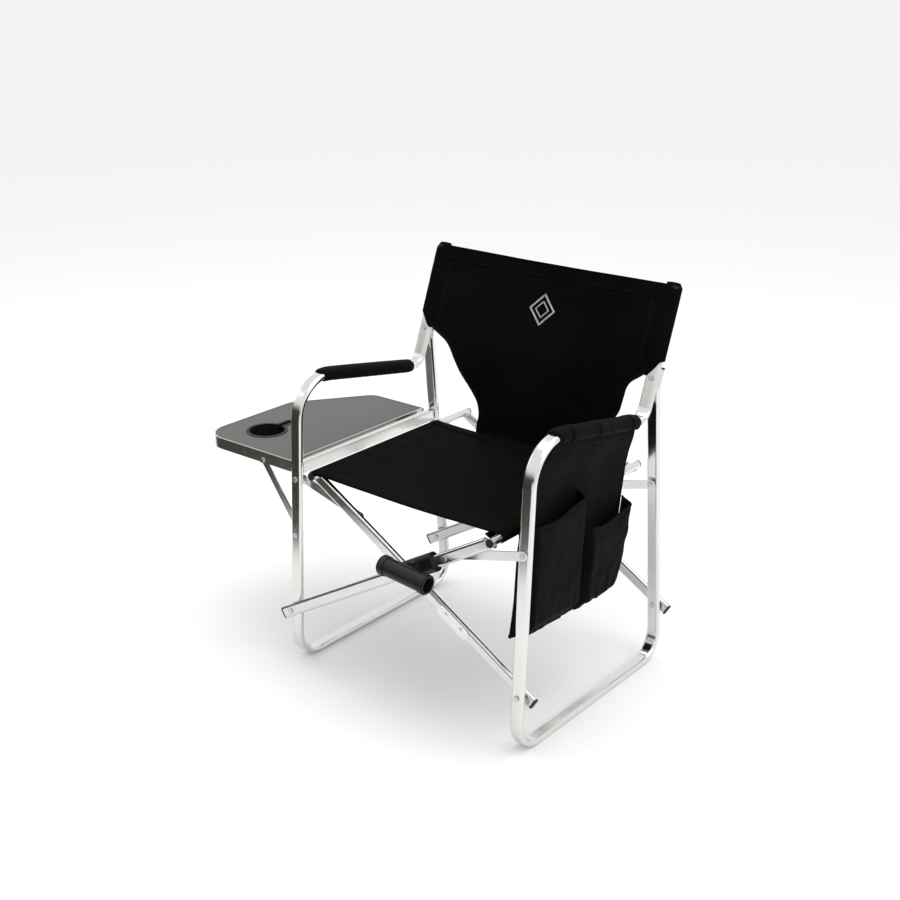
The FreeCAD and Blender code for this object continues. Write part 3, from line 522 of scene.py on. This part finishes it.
def seat_profile(y):
    """One row across the seat, from the left under-hem over both rails to the right."""
    row = []
    for side, rail in ((-1, rail_left), (1, rail_right)):
        part = []
        for k in range(under_steps):
            share = 1 - k / under_steps
            height = rail_z - wrap - 0.0035 * share + 0.012 * share ** 2
            part.append(Vector((rail - side * tuck * share, y, height)))
        for k in range(round_steps + 1):
            angle = math.radians(-90 + 180 * k / round_steps)
            x = rail + side * wrap * math.cos(angle)
            part.append(Vector((x, y, rail_z + wrap * math.sin(angle))))
        if side < 0:
            row += part
            for x in span(rail_left, rail_right, 62)[1:-1]:
                row.append(Vector((x, y, seat_top(x, y))))
        else:
            row += list(reversed(part))
    return row


def saddle_gaps(name):
    """Stretches of Y where a leg meets a rail."""
    half = nodes[name].data
    ys = sorted({round(v.co.y, 3) for v in half.vertices})
    gaps = [[ys[0], ys[0]]]
    for y in ys:
        if y - gaps[-1][1] > 0.05:
            gaps.append([y, y])
        gaps[-1][1] = y
    return [(a - 0.006, b + 0.006) for a, b in gaps]


seat_ys = span(seat_front, seat_rear, 93)
seat_rows = [seat_profile(y) for y in seat_ys]
left_gaps = saddle_gaps("cross_1_saddles")
right_gaps = saddle_gaps("cross_2_saddles")
row_width = len(seat_rows[0])


def seat_cut(i, j):
    """True where the sleeve is cut away round a leg."""
    y = (seat_ys[i] + seat_ys[i + 1]) / 2
    sleeve_steps = 17
    if j < sleeve_steps:
        return any(a < y < b for a, b in left_gaps)
    if j >= row_width - 1 - sleeve_steps:
        return any(a < y < b for a, b in right_gaps)
    return False


seat = cloth("seat_cloth", seat_rows, sling_cloth, 0.0018, skip=seat_cut)
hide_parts("seat_sling_table_half", "seat_sling_pouch_half")
print("seat cloth", len(seat.data.vertices), "points")

# %% [markdown]
# The hems at the front and back of the seat are a second layer of cloth, folded over the edge and
# held by two rows of stitches.  The rail sleeves have two rows as well.

# %% Seat hems and seams
def seat_hem(name, y_edge, y_in):
    outer = 1 if y_edge < y_in else -1
    rows = []
    lift = 0.0016
    for k, y in enumerate([y_in, (y_in + y_edge) / 2, y_edge, y_edge - outer * 0.0015,
                           y_edge, (y_in + y_edge) / 2, y_in]):
        height = (lift, lift, lift * 0.9, 0.0, -lift * 0.9, -lift, -lift)[k]
        rows.append([Vector((x, y, seat_top(x, min(max(y, seat_front), seat_rear)) + height))
                     for x in span(rail_left + 0.002, rail_right - 0.002, 80)])
    return cloth(name, rows, sling_cloth, 0.0009)


hem_depth = 0.024
seat_hems = [seat_hem("seat_front_hem", seat_front, seat_front + hem_depth),
             seat_hem("seat_rear_hem", seat_rear, seat_rear - hem_depth)]


def on_seat(xs, ys, lift):
    return [Vector((x, y, seat_top(x, y) + lift)) for x, y in zip(xs, ys)]


seat_lines = []
line_points = 60
for y in (seat_front + 0.004, seat_front + hem_depth - 0.003,
          seat_rear - 0.004, seat_rear - hem_depth + 0.003):
    xs = span(rail_left + 0.012, rail_right - 0.012, line_points)
    seat_lines.append(on_seat(xs, [y] * line_points, 0.0024))
for x in (rail_left + 0.028, rail_left + 0.034, rail_right - 0.028, rail_right - 0.034):
    ys = span(seat_front + 0.008, seat_rear - 0.008, line_points)
    seat_lines.append(on_seat([x] * line_points, ys, 0.0012))
seat_stitches = seam("seat_stitches", seat_lines)
for piece in [seat, seat_stitches] + seat_hems:
    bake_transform(piece)
wrapped = 2 * (math.pi * wrap + tuck)
seat_width = rail_right - rail_left + wrapped
seat_hems + [seat_stitches]
print("seat cut", round(seat_width, 3), "x", round(seat_rear - seat_front, 3))

# %% [markdown]
# The back is one T-shaped cloth.  Its wide part is stretched between the back posts, and a tongue
# runs down behind the seat.  It is made as three pieces, the panel and a sleeve over each post,
# because the panel goes slack when the chair folds while each sleeve stays on its own post.

# %% Back panel surface
back_node = "back_sling_pouch_half"
post_node = "pouch_side_frame_tube"
post_low, post_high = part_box("pouch_side_post_rivet")
post_x = (post_low.x + post_high.x) / 2
half_span = post_x - middle.x
sleeve_half = 0.0168
panel_half = half_span - 0.0035
back_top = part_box(back_node)[1].z
tongue_low = seat_top(middle.x, seat_rear) - 0.006


def post_front(z):
    """Front face of the back post, carried on straight past its end."""
    low, high = 0.70, 0.78
    a, b = [touch(post_node, (post_x, -1.0, level), (0, 1, 0)).y for level in (low, high)]
    return a + (b - a) * (z - low) / (high - low)


post_a = post_front(0.0)
post_slope = post_front(1.0) - post_a
tongue_y = seat_rear + 0.004


def panel_rest(z):
    """The panel's plane: along the posts above, upright below, with an eased bend between."""
    slope_y = post_a + post_slope * z - 0.0022
    upright = tongue_y + (z - tongue_low) * 0.01
    sharp = 0.014
    gap_y = (slope_y - upright) / sharp
    return upright + sharp * (math.log1p(math.exp(-abs(gap_y))) + max(gap_y, 0.0))


wing = [(0.633, half_span - 0.020), (0.640, half_span - 0.014), (0.656, panel_half),
        (0.900, panel_half)]
cut_lines = {  # height and half width of the back panel, from the foot of the tongue up
    -1: [(0.400, 0.129), (0.447, 0.127), (0.470, 0.120), (0.500, 0.126), (0.525, 0.146),
         (0.555, 0.176), (0.585, 0.197), (0.608, 0.212), (0.620, 0.228), (0.628, 0.247)] + wing,
    1: [(0.400, 0.129), (0.447, 0.127), (0.470, 0.141), (0.500, 0.169), (0.525, 0.200),
        (0.551, 0.221), (0.580, 0.227), (0.607, 0.231), (0.620, 0.240), (0.628, 0.252)] + wing,
}


def half_at(z, side):
    table = cut_lines[side]
    for (z0, w0), (z1, w1) in zip(table, table[1:]):
        if z0 <= z <= z1:
            return w0 + (w1 - w0) * (z - z0) / (z1 - z0)
    return panel_half


def half_width(z, side):
    return sum(half_at(z + d, side) for d in (-0.009, -0.0045, 0.0, 0.0045, 0.009)) / 5


def back_point(u, z, lift=0.0):
    """A point of the panel.  u is -1 at the left edge and 1 at the right; lift is to the front."""
    x = u * half_width(z, 1 if u > 0 else -1)
    high = ease((z - 0.60) / 0.10)
    slack = 1 - (x / panel_half) ** 2
    belly = 0.010 * slack * (0.35 + 0.65 * high)
    top_dip = 0.005 * slack * ease((z - 0.74) / 0.06)
    near_side = ease((abs(x) - panel_half + 0.014) / 0.014)
    corner = 0.002 * near_side * ease((z - back_top + 0.02) / 0.02)
    tension = 0.0018 * math.sin(z * 70 + 2.2 * noise.noise(Vector((x * 5, z * 6, 0.4))))
    tension *= high * abs(x / panel_half) ** 2 * (1 - ease((abs(x) - panel_half + 0.03) / 0.03))
    soft = 0.0024 * noise.noise(Vector((x * 8, z * 10, 1.7))) * (1 - abs(u) ** 4)
    y = panel_rest(z) + belly + tension + soft - lift
    return Vector((middle.x + x, y, z - top_dip - corner))


back_zs = (span(tongue_low, 0.575, 30)[:-1] + span(0.575, 0.645, 26)[:-1]
           + span(0.645, back_top - 0.003, 34))
back_us = span(-1.0, 1.0, 91)
back_rows = [[back_point(u, z) for u in back_us] for z in back_zs]
back_panel = cloth("back_panel_cloth", back_rows, sling_cloth, 0.0020)
back_area = cloth_area(back_rows)
print("back panel", round(back_area, 4), "square metres")

# %% [markdown]
# Each post sleeve is a closed pocket of the same cloth: an oval that hugs the tube, pinched shut
# over the top of the post with rounded corners, and cut on a slant at its lower end.

# %% Post sleeves
def post_sleeve(name, side):
    x_post = middle.x + side * half_span
    centre_gap = 0.0065
    sleeve_top = back_top - 0.0005
    sleeve_foot = 0.634
    around = 36
    rows = []
    for v in span(0.0, 1.0, 34):
        row = []
        for s in range(around):
            angle = 2 * math.pi * s / around
            flat_x = math.copysign(abs(math.cos(angle)) ** 0.7, math.cos(angle))
            x_off = side * (sleeve_half + 0.0004) * flat_x
            slant = sleeve_foot + 0.030 * ease((side * x_off + sleeve_half) / (2 * sleeve_half))
            z = slant + (sleeve_top - slant) * v
            pinch = ease((z - (sleeve_top - 0.012)) / 0.012)
            corner = 0.006 * pinch * pinch
            depth = (centre_gap + 0.0024) * math.sin(angle) * (1 - 0.72 * pinch)
            crumple = 0.0007 * noise.noise(Vector((angle * 1.4, z * 45, side * 2.0)))
            x = x_post + x_off - side * corner * max(0.0, flat_x)
            y = post_a + post_slope * z + centre_gap / math.cos(math.atan(post_slope))
            row.append(Vector((x, y + depth + crumple, z)))
        rows.append(row)
    last = rows[-1]
    heart = sum(last, Vector()) / len(last)
    for shrink in (0.6, 0.15):
        rows.append([heart + (p - heart) * shrink + Vector((0, 0, 0.0008)) for p in last])
    piece = cloth(name, rows, sling_cloth, 0.0014, closed=True)
    return piece


sleeves = [post_sleeve("back_sleeve_table_side", -1), post_sleeve("back_sleeve_pouch_side", 1)]
for sleeve, body in zip(sleeves, ("table_side_frame", "pouch_side_frame")):
    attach(sleeve, body)
    print(sleeve.name, "rides on", body)

# %% [markdown]
# The panel's free edges are bound with tape, and a doubled hem runs along the top.  Two rows of
# stitches show beside each sleeve and one inside the binding.

# %% Back binding, hem and seams
def edge_line(side, z0, z1, count, lift=0.0, inset=0.0):
    line = []
    for z in span(z0, z1, count):
        width = half_width(z, side)
        line.append(back_point(side * (1 - inset / width), z, lift))
    return line


wing_z = 0.652
tape_radius = 0.0024
back_extras = []
for side, label in ((-1, "left"), (1, "right")):
    back_extras.append(binding(f"back_binding_{label}", edge_line(side, tongue_low, wing_z, 70),
                               tape_radius, webbing))
foot_line = [back_point(u, tongue_low) for u in span(-1, 1, 40)]
back_extras.append(binding("back_binding_foot", foot_line, tape_radius, webbing))
top_line = [back_point(u, back_top - 0.003) for u in span(-1, 1, 60)]
back_extras.append(binding("back_binding_top", top_line, 0.0026, sling_cloth))
hem_rows = [[back_point(u, z, 0.0012) for u in back_us[::2]]
            for z in span(back_top - 0.030, back_top - 0.003, 8)]
back_extras.append(cloth("back_top_hem", hem_rows, sling_cloth, 0.0012))
back_lines = []
for lift in (0.0014, -0.0014):
    for side in (-1, 1):
        back_lines.append(edge_line(side, tongue_low + 0.006, wing_z - 0.004, 60, lift, 0.007))
        for inset in (0.027, 0.033):
            back_lines.append(edge_line(side, wing_z + 0.004, back_top - 0.034, 50, lift, inset))
    back_lines.append([back_point(u, back_top - 0.027, lift * 1.6) for u in span(-0.90, 0.90, 60)])
    back_lines.append([back_point(u, tongue_low + 0.008, lift) for u in span(-0.95, 0.95, 40)])
back_extras.append(seam("back_stitches", back_lines, up=(0, 1, 0)))
print("back trimmings:", len(back_extras))

# %% [markdown]
# A maker sews a mark in the middle of the back.  This one is a plain pair of nested diamonds in
# pale satin stitch, which stands for no one.

# %% Sewn mark
def diamond(size):
    mark_z = 0.712
    steps = 14
    corners = [(0, size), (size, 0), (0, -size), (-size, 0), (0, size)]
    line = []
    for (x0, z0), (x1, z1) in zip(corners, corners[1:]):
        for k in range(steps):
            x = x0 + (x1 - x0) * k / steps
            z = mark_z + z0 + (z1 - z0) * k / steps
            line.append(back_point(x / panel_half, z, 0.0012))
    return line


mark_lines = [diamond(size) for size in (0.0310, 0.0292, 0.0274, 0.0165, 0.0147)]
back_extras.append(seam("sewn_mark", mark_lines, pale_thread, 0.0016, 0.0030, 0.00055, (0, 1, 0)))

# %% [markdown]
# The posts stand 284 mm from the middle when the chair is open and 140 mm when it is folded.  The share by which
# the slack panel would narrow towards one post is worked out from that, and the panel rides on the pouch-side
# frame.

# %% Hang the back
folded_span = 2 * half_span * 140 / 284
folded_share = (folded_span - 2 * (half_span - panel_half)) / (2 * panel_half)
inner_edge = (middle.x + panel_half, 0, 0)
for piece in [back_panel] + back_extras:
    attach(piece, "pouch_side_frame")
    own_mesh(piece)
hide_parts("back_sling_pouch_half", "back_sling_table_half")
back_top - tongue_low + 0.03
back_extras + sleeves

# %% [markdown]
# Each arm has a padded sleeve: foam wrapped in nylon and closed with a seam underneath.  The pad is
# lofted a little thin along the arm, remeshed, and blown up by a short cloth simulation with its
# seam and both ends pinned, so it fills out between them as foam does.

# %% Fill a pad out
def puff(pad, line, half_high):
    """Remeshes a pad and fills it out with a short, pinned cloth simulation."""
    cap = 0.0026
    frames = 20
    remesh = pad.modifiers.new("remesh", "REMESH")
    remesh.mode = "VOXEL"
    remesh.voxel_size = 0.0042
    freeze(pad)
    pad.data.materials.clear()
    pad.data.materials.append(pad_cloth)
    rest = [v.co.copy() for v in pad.data.vertices]
    x_mid = line[0].x
    y0, y1 = line[0].y, line[-1].y
    pins = pad.vertex_groups.new(name="sewn")
    for v in pad.data.vertices:
        t = (v.co.y - y0) / (y1 - y0) * (len(line) - 1)
        k = int(min(max(t, 0), len(line) - 2))
        level = line[k].z + (line[k + 1].z - line[k].z) * (t - k)
        under = v.co.z < level - half_high * 0.55 and abs(v.co.x - x_mid) < 0.004
        ends = v.co.y < y0 + 0.004 or v.co.y > y1 - 0.004
        if under or ends:
            pins.add([v.index], 1.0, "ADD")
    sim = pad.modifiers.new("fill", "CLOTH")
    sim.settings.use_pressure = True
    sim.settings.uniform_pressure_force = 4.0
    sim.settings.effector_weights.gravity = 0.0
    sim.settings.vertex_group_mass = "sewn"
    sim.settings.quality = 6
    for number in range(1, frames + 1):
        bpy.context.scene.frame_set(number)
    freeze(pad)
    bpy.context.scene.frame_set(1)
    for v, start in zip(pad.data.vertices, rest):
        move = v.co - start
        if move.length > cap:
            v.co = start + move * (cap / move.length)
    pad.modifiers.new("smooth", "SUBSURF").levels = 1
    freeze(pad)
    for face in pad.data.polygons:
        face.use_smooth = True


# %% [markdown]
# The loft follows the arm: its line is felt out along the frame's plain pad, and each ring is a
# flattened oval, a little smaller towards the ends.  Both ends are drawn in and closed.

# %% Padded arm sleeves
def pad_line(name):
    low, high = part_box(name)
    x = (low.x + high.x) / 2
    line = []
    for y in span(low.y + 0.004, high.y - 0.004, 24):
        top = touch(name, (x, y, 2.0), (0, 0, -1))
        base = touch(name, (x, y, 0.0), (0, 0, 1))
        line.append(Vector((x, y, (top.z + base.z) / 2)))
    return line, (high.x - low.x) / 2


def arm_pad(name, source):
    line, half_wide = pad_line(source)
    half_high = 0.0140
    around = 28
    rows = []
    for k, spot in enumerate(line):
        way = (line[min(k + 1, len(line) - 1)] - line[max(k - 1, 0)]).normalized()
        rise = Vector((1, 0, 0)).cross(way).normalized()
        end = min(k / 2.0, len(line) - 1 - k)
        full = 0.90 + 0.08 * ease(end)
        row = []
        for s in range(around):
            angle = 2 * math.pi * s / around
            c, d = math.cos(angle), math.sin(angle)
            x = half_wide * full * math.copysign(abs(c) ** 0.75, c)
            z = half_high * full * math.copysign(abs(d) ** 0.85, d)
            row.append(spot + Vector((x, 0, 0)) + rise * z)
        rows.append(row)
    for index in (0, -1):
        heart = sum(rows[index], Vector()) / around
        shut = [heart + (p - heart) * 0.1 for p in rows[index]]
        rows = [shut] + rows if index == 0 else rows + [shut]
    pad = cloth(name, rows, pad_cloth, 0.0, closed=True)
    shape = bmesh.new()
    shape.from_mesh(pad.data)
    bmesh.ops.holes_fill(shape, edges=[e for e in shape.edges if e.is_boundary])
    bmesh.ops.recalc_face_normals(shape, faces=shape.faces)
    shape.to_mesh(pad.data)
    shape.free()
    puff(pad, line, half_high)
    return pad, line


pads = {}
for label in ("table_side", "pouch_side"):
    pad, line = arm_pad(f"arm_pad_{label}", f"{label}_arm_pad")
    pads[label] = (pad, line)
    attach(pad, f"{label}_frame")
    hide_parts(f"{label}_arm_pad")
    print(pad.name, len(pad.data.vertices), "points")
organiser_pad, organiser_arm = pads["pouch_side"]

# %% [markdown]
# The organiser hangs from the padded arm.  Its back panel is one sheet with tape round its edge,
# upright below and leaning out to meet the arm.

# %% Organiser panel
panel_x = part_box("pouch_back_panel")[0].x + 0.00125
pouch_cut = [  # half outline: y, foot height and top height
    (-0.214, 0.241, 0.246), (-0.200, 0.238, 0.305), (-0.189, 0.2375, 0.410), (-0.152, 0.236, 0.546),
    (-0.100, 0.234, 0.589), (0.000, 0.226, 0.571), (0.100, 0.214, 0.553), (0.118, 0.214, 0.5495),
    (0.127, 0.290, 0.548), (0.143, 0.400, 0.545), (0.166, 0.520, 0.541),
]


def between(table, y, column):
    if y <= table[0][0]:
        return table[0][column]
    for a, b in zip(table, table[1:]):
        if y <= b[0]:
            return a[column] + (b[column] - a[column]) * (y - a[0]) / (b[0] - a[0])
    return table[-1][column]


def lean(z):
    """How far the panel stands out from its upright part."""
    return 0.014 * ease((z - 0.470) / 0.085)


def panel_point(y, z, lift=0.0):
    fold = 0.0022 * math.sin(y * 46 + 1.0) * ease((z - 0.25) / 0.2) * (1 - ease((z - 0.50) / 0.05))
    soft = 0.0020 * noise.noise(Vector((y * 9, z * 7, 5.0)))
    point = mm(0, y * 1000, z * 1000)
    point.x = panel_x + lean(z) + fold + soft + lift
    return point


panel_ys = span(-0.214, 0.166, 78)
panel_rows = []
for v in span(0.0, 1.0, 66):
    row = []
    for y in panel_ys:
        low, high = between(pouch_cut, y, 1), between(pouch_cut, y, 2)
        row.append(panel_point(y, low + (high - low) * v))
    panel_rows.append(row)
pouch_panel = cloth("organiser_panel", panel_rows, pouch_cloth, 0.0018)
rim = ([row[0] for row in reversed(panel_rows)] + panel_rows[0][1:]
       + [row[-1] for row in panel_rows[1:]])
pouch_tape = binding("organiser_tape", rim, tape_radius, webbing)
panel_area = cloth_area(panel_rows)
print("organiser panel", round(panel_area, 4), "square metres")

# %% [markdown]
# Two gusseted pockets are sewn on the panel's outer face: their sides stand off the panel, their
# fronts sag, and their top hems droop a little and stand open.

# %% One pocket
def pocket(name, y0, y1, foot, top, depth, flare, droop, open_out):
    """A sagging pocket: foot and top give heights at a share of its width."""
    rows = []
    for v in span(0.0, 1.0, 40):
        row = []
        for u in span(0.0, 1.0, 49):
            y_edge = y0 + (y1 - y0) * u
            side = ease(min(u, 1 - u) / 0.11)
            low = foot(u) + 0.001
            high = top(u) - droop * math.sin(math.pi * u)
            z = low + (high - low) * v
            belly = ease(v / 0.14) * (0.72 + 0.34 * math.sin(math.pi * min(v * 0.85 + 0.1, 1)))
            sag = 0.0022 * noise.noise(Vector((u * 5, v * 7, y0 * 30)))
            ruck = noise.noise(Vector((u * 9, y0 * 40, 0.6)))
            pleat = 0.0030 * math.sin(u * 21 + 5 * ruck) * (1 - ease(v / 0.45)) * side * (0.5 + ruck)
            out = depth * side * belly + (sag + pleat) * side
            out += open_out * ease((v - 0.35) / 0.65) * side
            y = y_edge + flare * ease((u - 0.3) / 0.7) * v
            base = panel_point(y, z).x
            row.append(Vector((base + 0.002 + out, middle.y + y, z)))
        rows.append(row)
    piece = cloth(name, rows, pouch_cloth, 0.0016)
    hem = binding(name + "_hem", rows[-1], 0.0026, webbing)
    tape = binding(name + "_edge", [row[0] for row in reversed(rows)] + rows[0][1:]
                   + [row[-1] for row in rows[1:]], 0.0015, webbing)
    low_hem = [p + Vector((0.0012, 0, 0)) for p in rows[-4]]
    lines = seam(name + "_stitches", [low_hem], up=(1, 0, 0))
    return piece, [hem, tape, lines], rows


def straight(a, b):
    return lambda u: a + (b - a) * u


def short_foot(u):
    return 0.213 - 0.004 * u + 0.020 * ease((u - 0.80) / 0.20)


long_pocket = pocket("organiser_long_pocket", y0=-0.187, y1=-0.011,
                     foot=straight(0.222, 0.217), top=straight(0.449, 0.464),
                     depth=0.024, flare=0.006, droop=0.010, open_out=0.009)
short_pocket = pocket("organiser_short_pocket", y0=-0.007, y1=0.116,
                      foot=short_foot, top=straight(0.392, 0.400),
                      depth=0.025, flare=0.034, droop=0.014, open_out=0.009)

# %% [markdown]
# Stitches run inside the panel's edge and down between the pockets.  The size that each pocket's cloth
# was cut to is measured along its own curves.

# %% Sew the organiser together
proud = Vector((0.0013, 0, 0))
sewn_lines = [(row[3] for row in panel_rows[3:]), panel_rows[-4][4:],
              (row[-4] for row in panel_rows[3:]), (row[41] for row in panel_rows[4:-8])]
pouch_stitches = seam("organiser_stitches", [[p + proud for p in line] for line in sewn_lines],
                      up=(1, 0, 0))
for piece in [pouch_panel, pouch_tape, pouch_stitches]:
    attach(piece, "pouch_side_frame")
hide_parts("pouch_back_panel")
for made, node in ((long_pocket, "pouch_front_pocket"), (short_pocket, "pouch_rear_pocket")):
    piece, extras, rows = made
    for one in [piece] + extras:
        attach(one, "pouch_side_frame")
    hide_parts(node)
    area = cloth_area(rows)
    wide = sum((b - a).length for a, b in zip(rows[20], rows[20][1:]))
    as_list(extras)

# %% [markdown]
# Three loops carry the organiser.  Each is a flat band of the pad's own cloth that goes once round
# the pad and lies almost flush with it, so its section is the pad's oval, a hair larger.

# %% Hanging loops
def loop_band(y_mm, line):
    place = middle.y + y_mm / 1000
    near = min(range(len(line)), key=lambda k: abs(line[k].y - place))
    way = (line[near + 1] - line[near - 1]).normalized()
    rise = Vector((1, 0, 0)).cross(way).normalized()
    t = (place - line[near].y) / way.y
    spot = line[near] + way * t
    half_wide, half_high = 0.0192, 0.0141
    around = 40
    rows = []
    for off in span(-0.012, 0.012, 7):
        row = []
        for s in range(around):
            angle = 2 * math.pi * s / around
            c, d = math.cos(angle), math.sin(angle)
            x = half_wide * math.copysign(abs(c) ** 0.75, c)
            z = half_high * math.copysign(abs(d) ** 0.85, d)
            row.append(spot + way * off + Vector((x, 0, 0)) + rise * z)
        rows.append(row)
    return cloth(f"organiser_loop_{int(y_mm + 100)}", rows, pad_cloth, 0.0008, closed=True)


loops = [loop_band(y, organiser_arm) for y in (-70.0, 18.0, 132.0)]
for loop in loops:
    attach(loop, "pouch_side_frame")
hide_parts("pouch_hanging_loops")
print("loops:", len(loops))

# %% [markdown]
# The studio is a sheet of pale paper and a bright, even surround.  Polished tube only looks like
# metal when it has something darker to mirror.  So the paper stops ahead of the chair and to its
# left, outside the picture, and the surround is dark in that quarter, low down.

# %% Studio
def fade(tree, value, start, end):
    """0 below start, 1 above end."""
    step = tree.nodes.new("ShaderNodeMapRange")
    step.interpolation_type = "SMOOTHSTEP"
    tree.links.new(value, step.inputs["Value"])
    step.inputs["From Min"].default_value = start
    step.inputs["From Max"].default_value = end
    return step.outputs[0]


def paper():
    finish = Finish("studio paper", Specular_IOR_Level=0.2)
    fleck = finish.patches(180.0, 4.0)
    finish.feed("Base Color", finish.blend(rgb(0.90), rgb(0.93), fleck))
    finish.feed("Roughness", (fleck * 0.1 + 0.75).clamped())
    return finish.material


def studio():
    edge = mm(-150, -1115, 0)
    reach = 60
    far_left = edge + Vector((-0.829, 0.559, 0.0)) * reach
    corners = [far_left, edge, edge + Vector((5, -reach, 0)), (reach, -reach, 0),
               (reach, reach, 0), (-50, reach, 0)]
    floor = new_piece("studio_floor", corners, [tuple(range(6))], paper())
    world = bpy.data.worlds.new("surround")
    bpy.context.scene.world = world
    world.use_nodes = True
    tree = world.node_tree
    ground = tree.nodes["Background"]
    place = tree.nodes.new("ShaderNodeTexCoord")
    parts = tree.nodes.new("ShaderNodeSeparateXYZ")
    tree.links.new(place.outputs["Generated"], parts.inputs[0])
    leftward = tree.nodes.new("ShaderNodeMath")
    leftward.operation = "MULTIPLY_ADD"
    leftward.inputs[1].default_value = 0.8
    tree.links.new(parts.outputs["X"], leftward.inputs[0])
    tree.links.new(parts.outputs["Y"], leftward.inputs[2])
    front = fade(tree, leftward.outputs[0], -0.75, -0.10)
    rise = fade(tree, parts.outputs["Z"], 0.10, 0.40)
    most = tree.nodes.new("ShaderNodeMath")
    most.operation = "MAXIMUM"
    tree.links.new(front, most.inputs[0])
    tree.links.new(rise, most.inputs[1])
    ramp = tree.nodes.new("ShaderNodeValToRGB")
    ramp.color_ramp.elements[0].color = (0.050, 0.050, 0.038, 1)
    ramp.color_ramp.elements[1].color = (1.0, 1.0, 1.0, 1)
    tree.links.new(most.outputs[0], ramp.inputs[0])
    tree.links.new(ramp.outputs[0], ground.inputs["Color"])
    ground.inputs["Strength"].default_value = 1.0


def soft_light(name, spot, aim, size, power):
    lamp = bpy.data.lights.new(name, "AREA")
    lamp.shape = "SQUARE"
    lamp.size = size
    lamp.energy = power
    holder = bpy.data.objects.new(name, lamp)
    bpy.context.scene.collection.objects.link(holder)
    holder.location = spot
    holder.rotation_euler = (Vector(aim) - Vector(spot)).to_track_quat("-Z", "Y").to_euler()


studio()
soft_light("overhead softbox", (0.2, 0.2, 3.0), (0, 0, 0.3), 2.6, 34)
soft_light("side softbox", (2.6, 0.4, 1.9), (0, 0, 0.4), 1.8, 14)
soft_light("left softbox", (-2.7, -0.9, 1.7), (0, 0, 0.4), 1.6, 9)
print("studio: one sheet of paper and three softboxes")

# %% [markdown]
# The camera stands where a person would stand to look the whole chair over: in front, to the right
# of it, and looking a little down.  A lens of about 55 mm keeps the near leg from looming.

# %% Camera
camera_turn = math.radians(38.95)
camera_rise = math.radians(21.0)
back_way = Vector((math.sin(camera_turn) * math.cos(camera_rise),
                   -math.cos(camera_turn) * math.cos(camera_rise), math.sin(camera_rise)))
right_way = Vector((math.cos(camera_turn), math.sin(camera_turn), 0.0))
up_way = back_way.cross(right_way)
lens = bpy.data.cameras.new("camera")
lens.sensor_width = 36.0
lens.lens = 1372.0 / 900.0 * lens.sensor_width
camera = bpy.data.objects.new("camera", lens)
bpy.context.scene.collection.objects.link(camera)
aim = Vector((middle.x, middle.y, 0.421)) - right_way * 0.0362 + up_way * 0.0523
stand = aim + back_way * 2.731
turned = Matrix((right_way, up_way, back_way)).transposed().to_4x4()
camera.matrix_world = Matrix.Translation(stand) @ turned
bpy.context.scene.camera = camera
bpy.context.scene.view_settings.view_transform = "Standard"
print("lens", round(lens.lens, 1), "mm")

# %% Finish
bpy.context.view_layer.update()
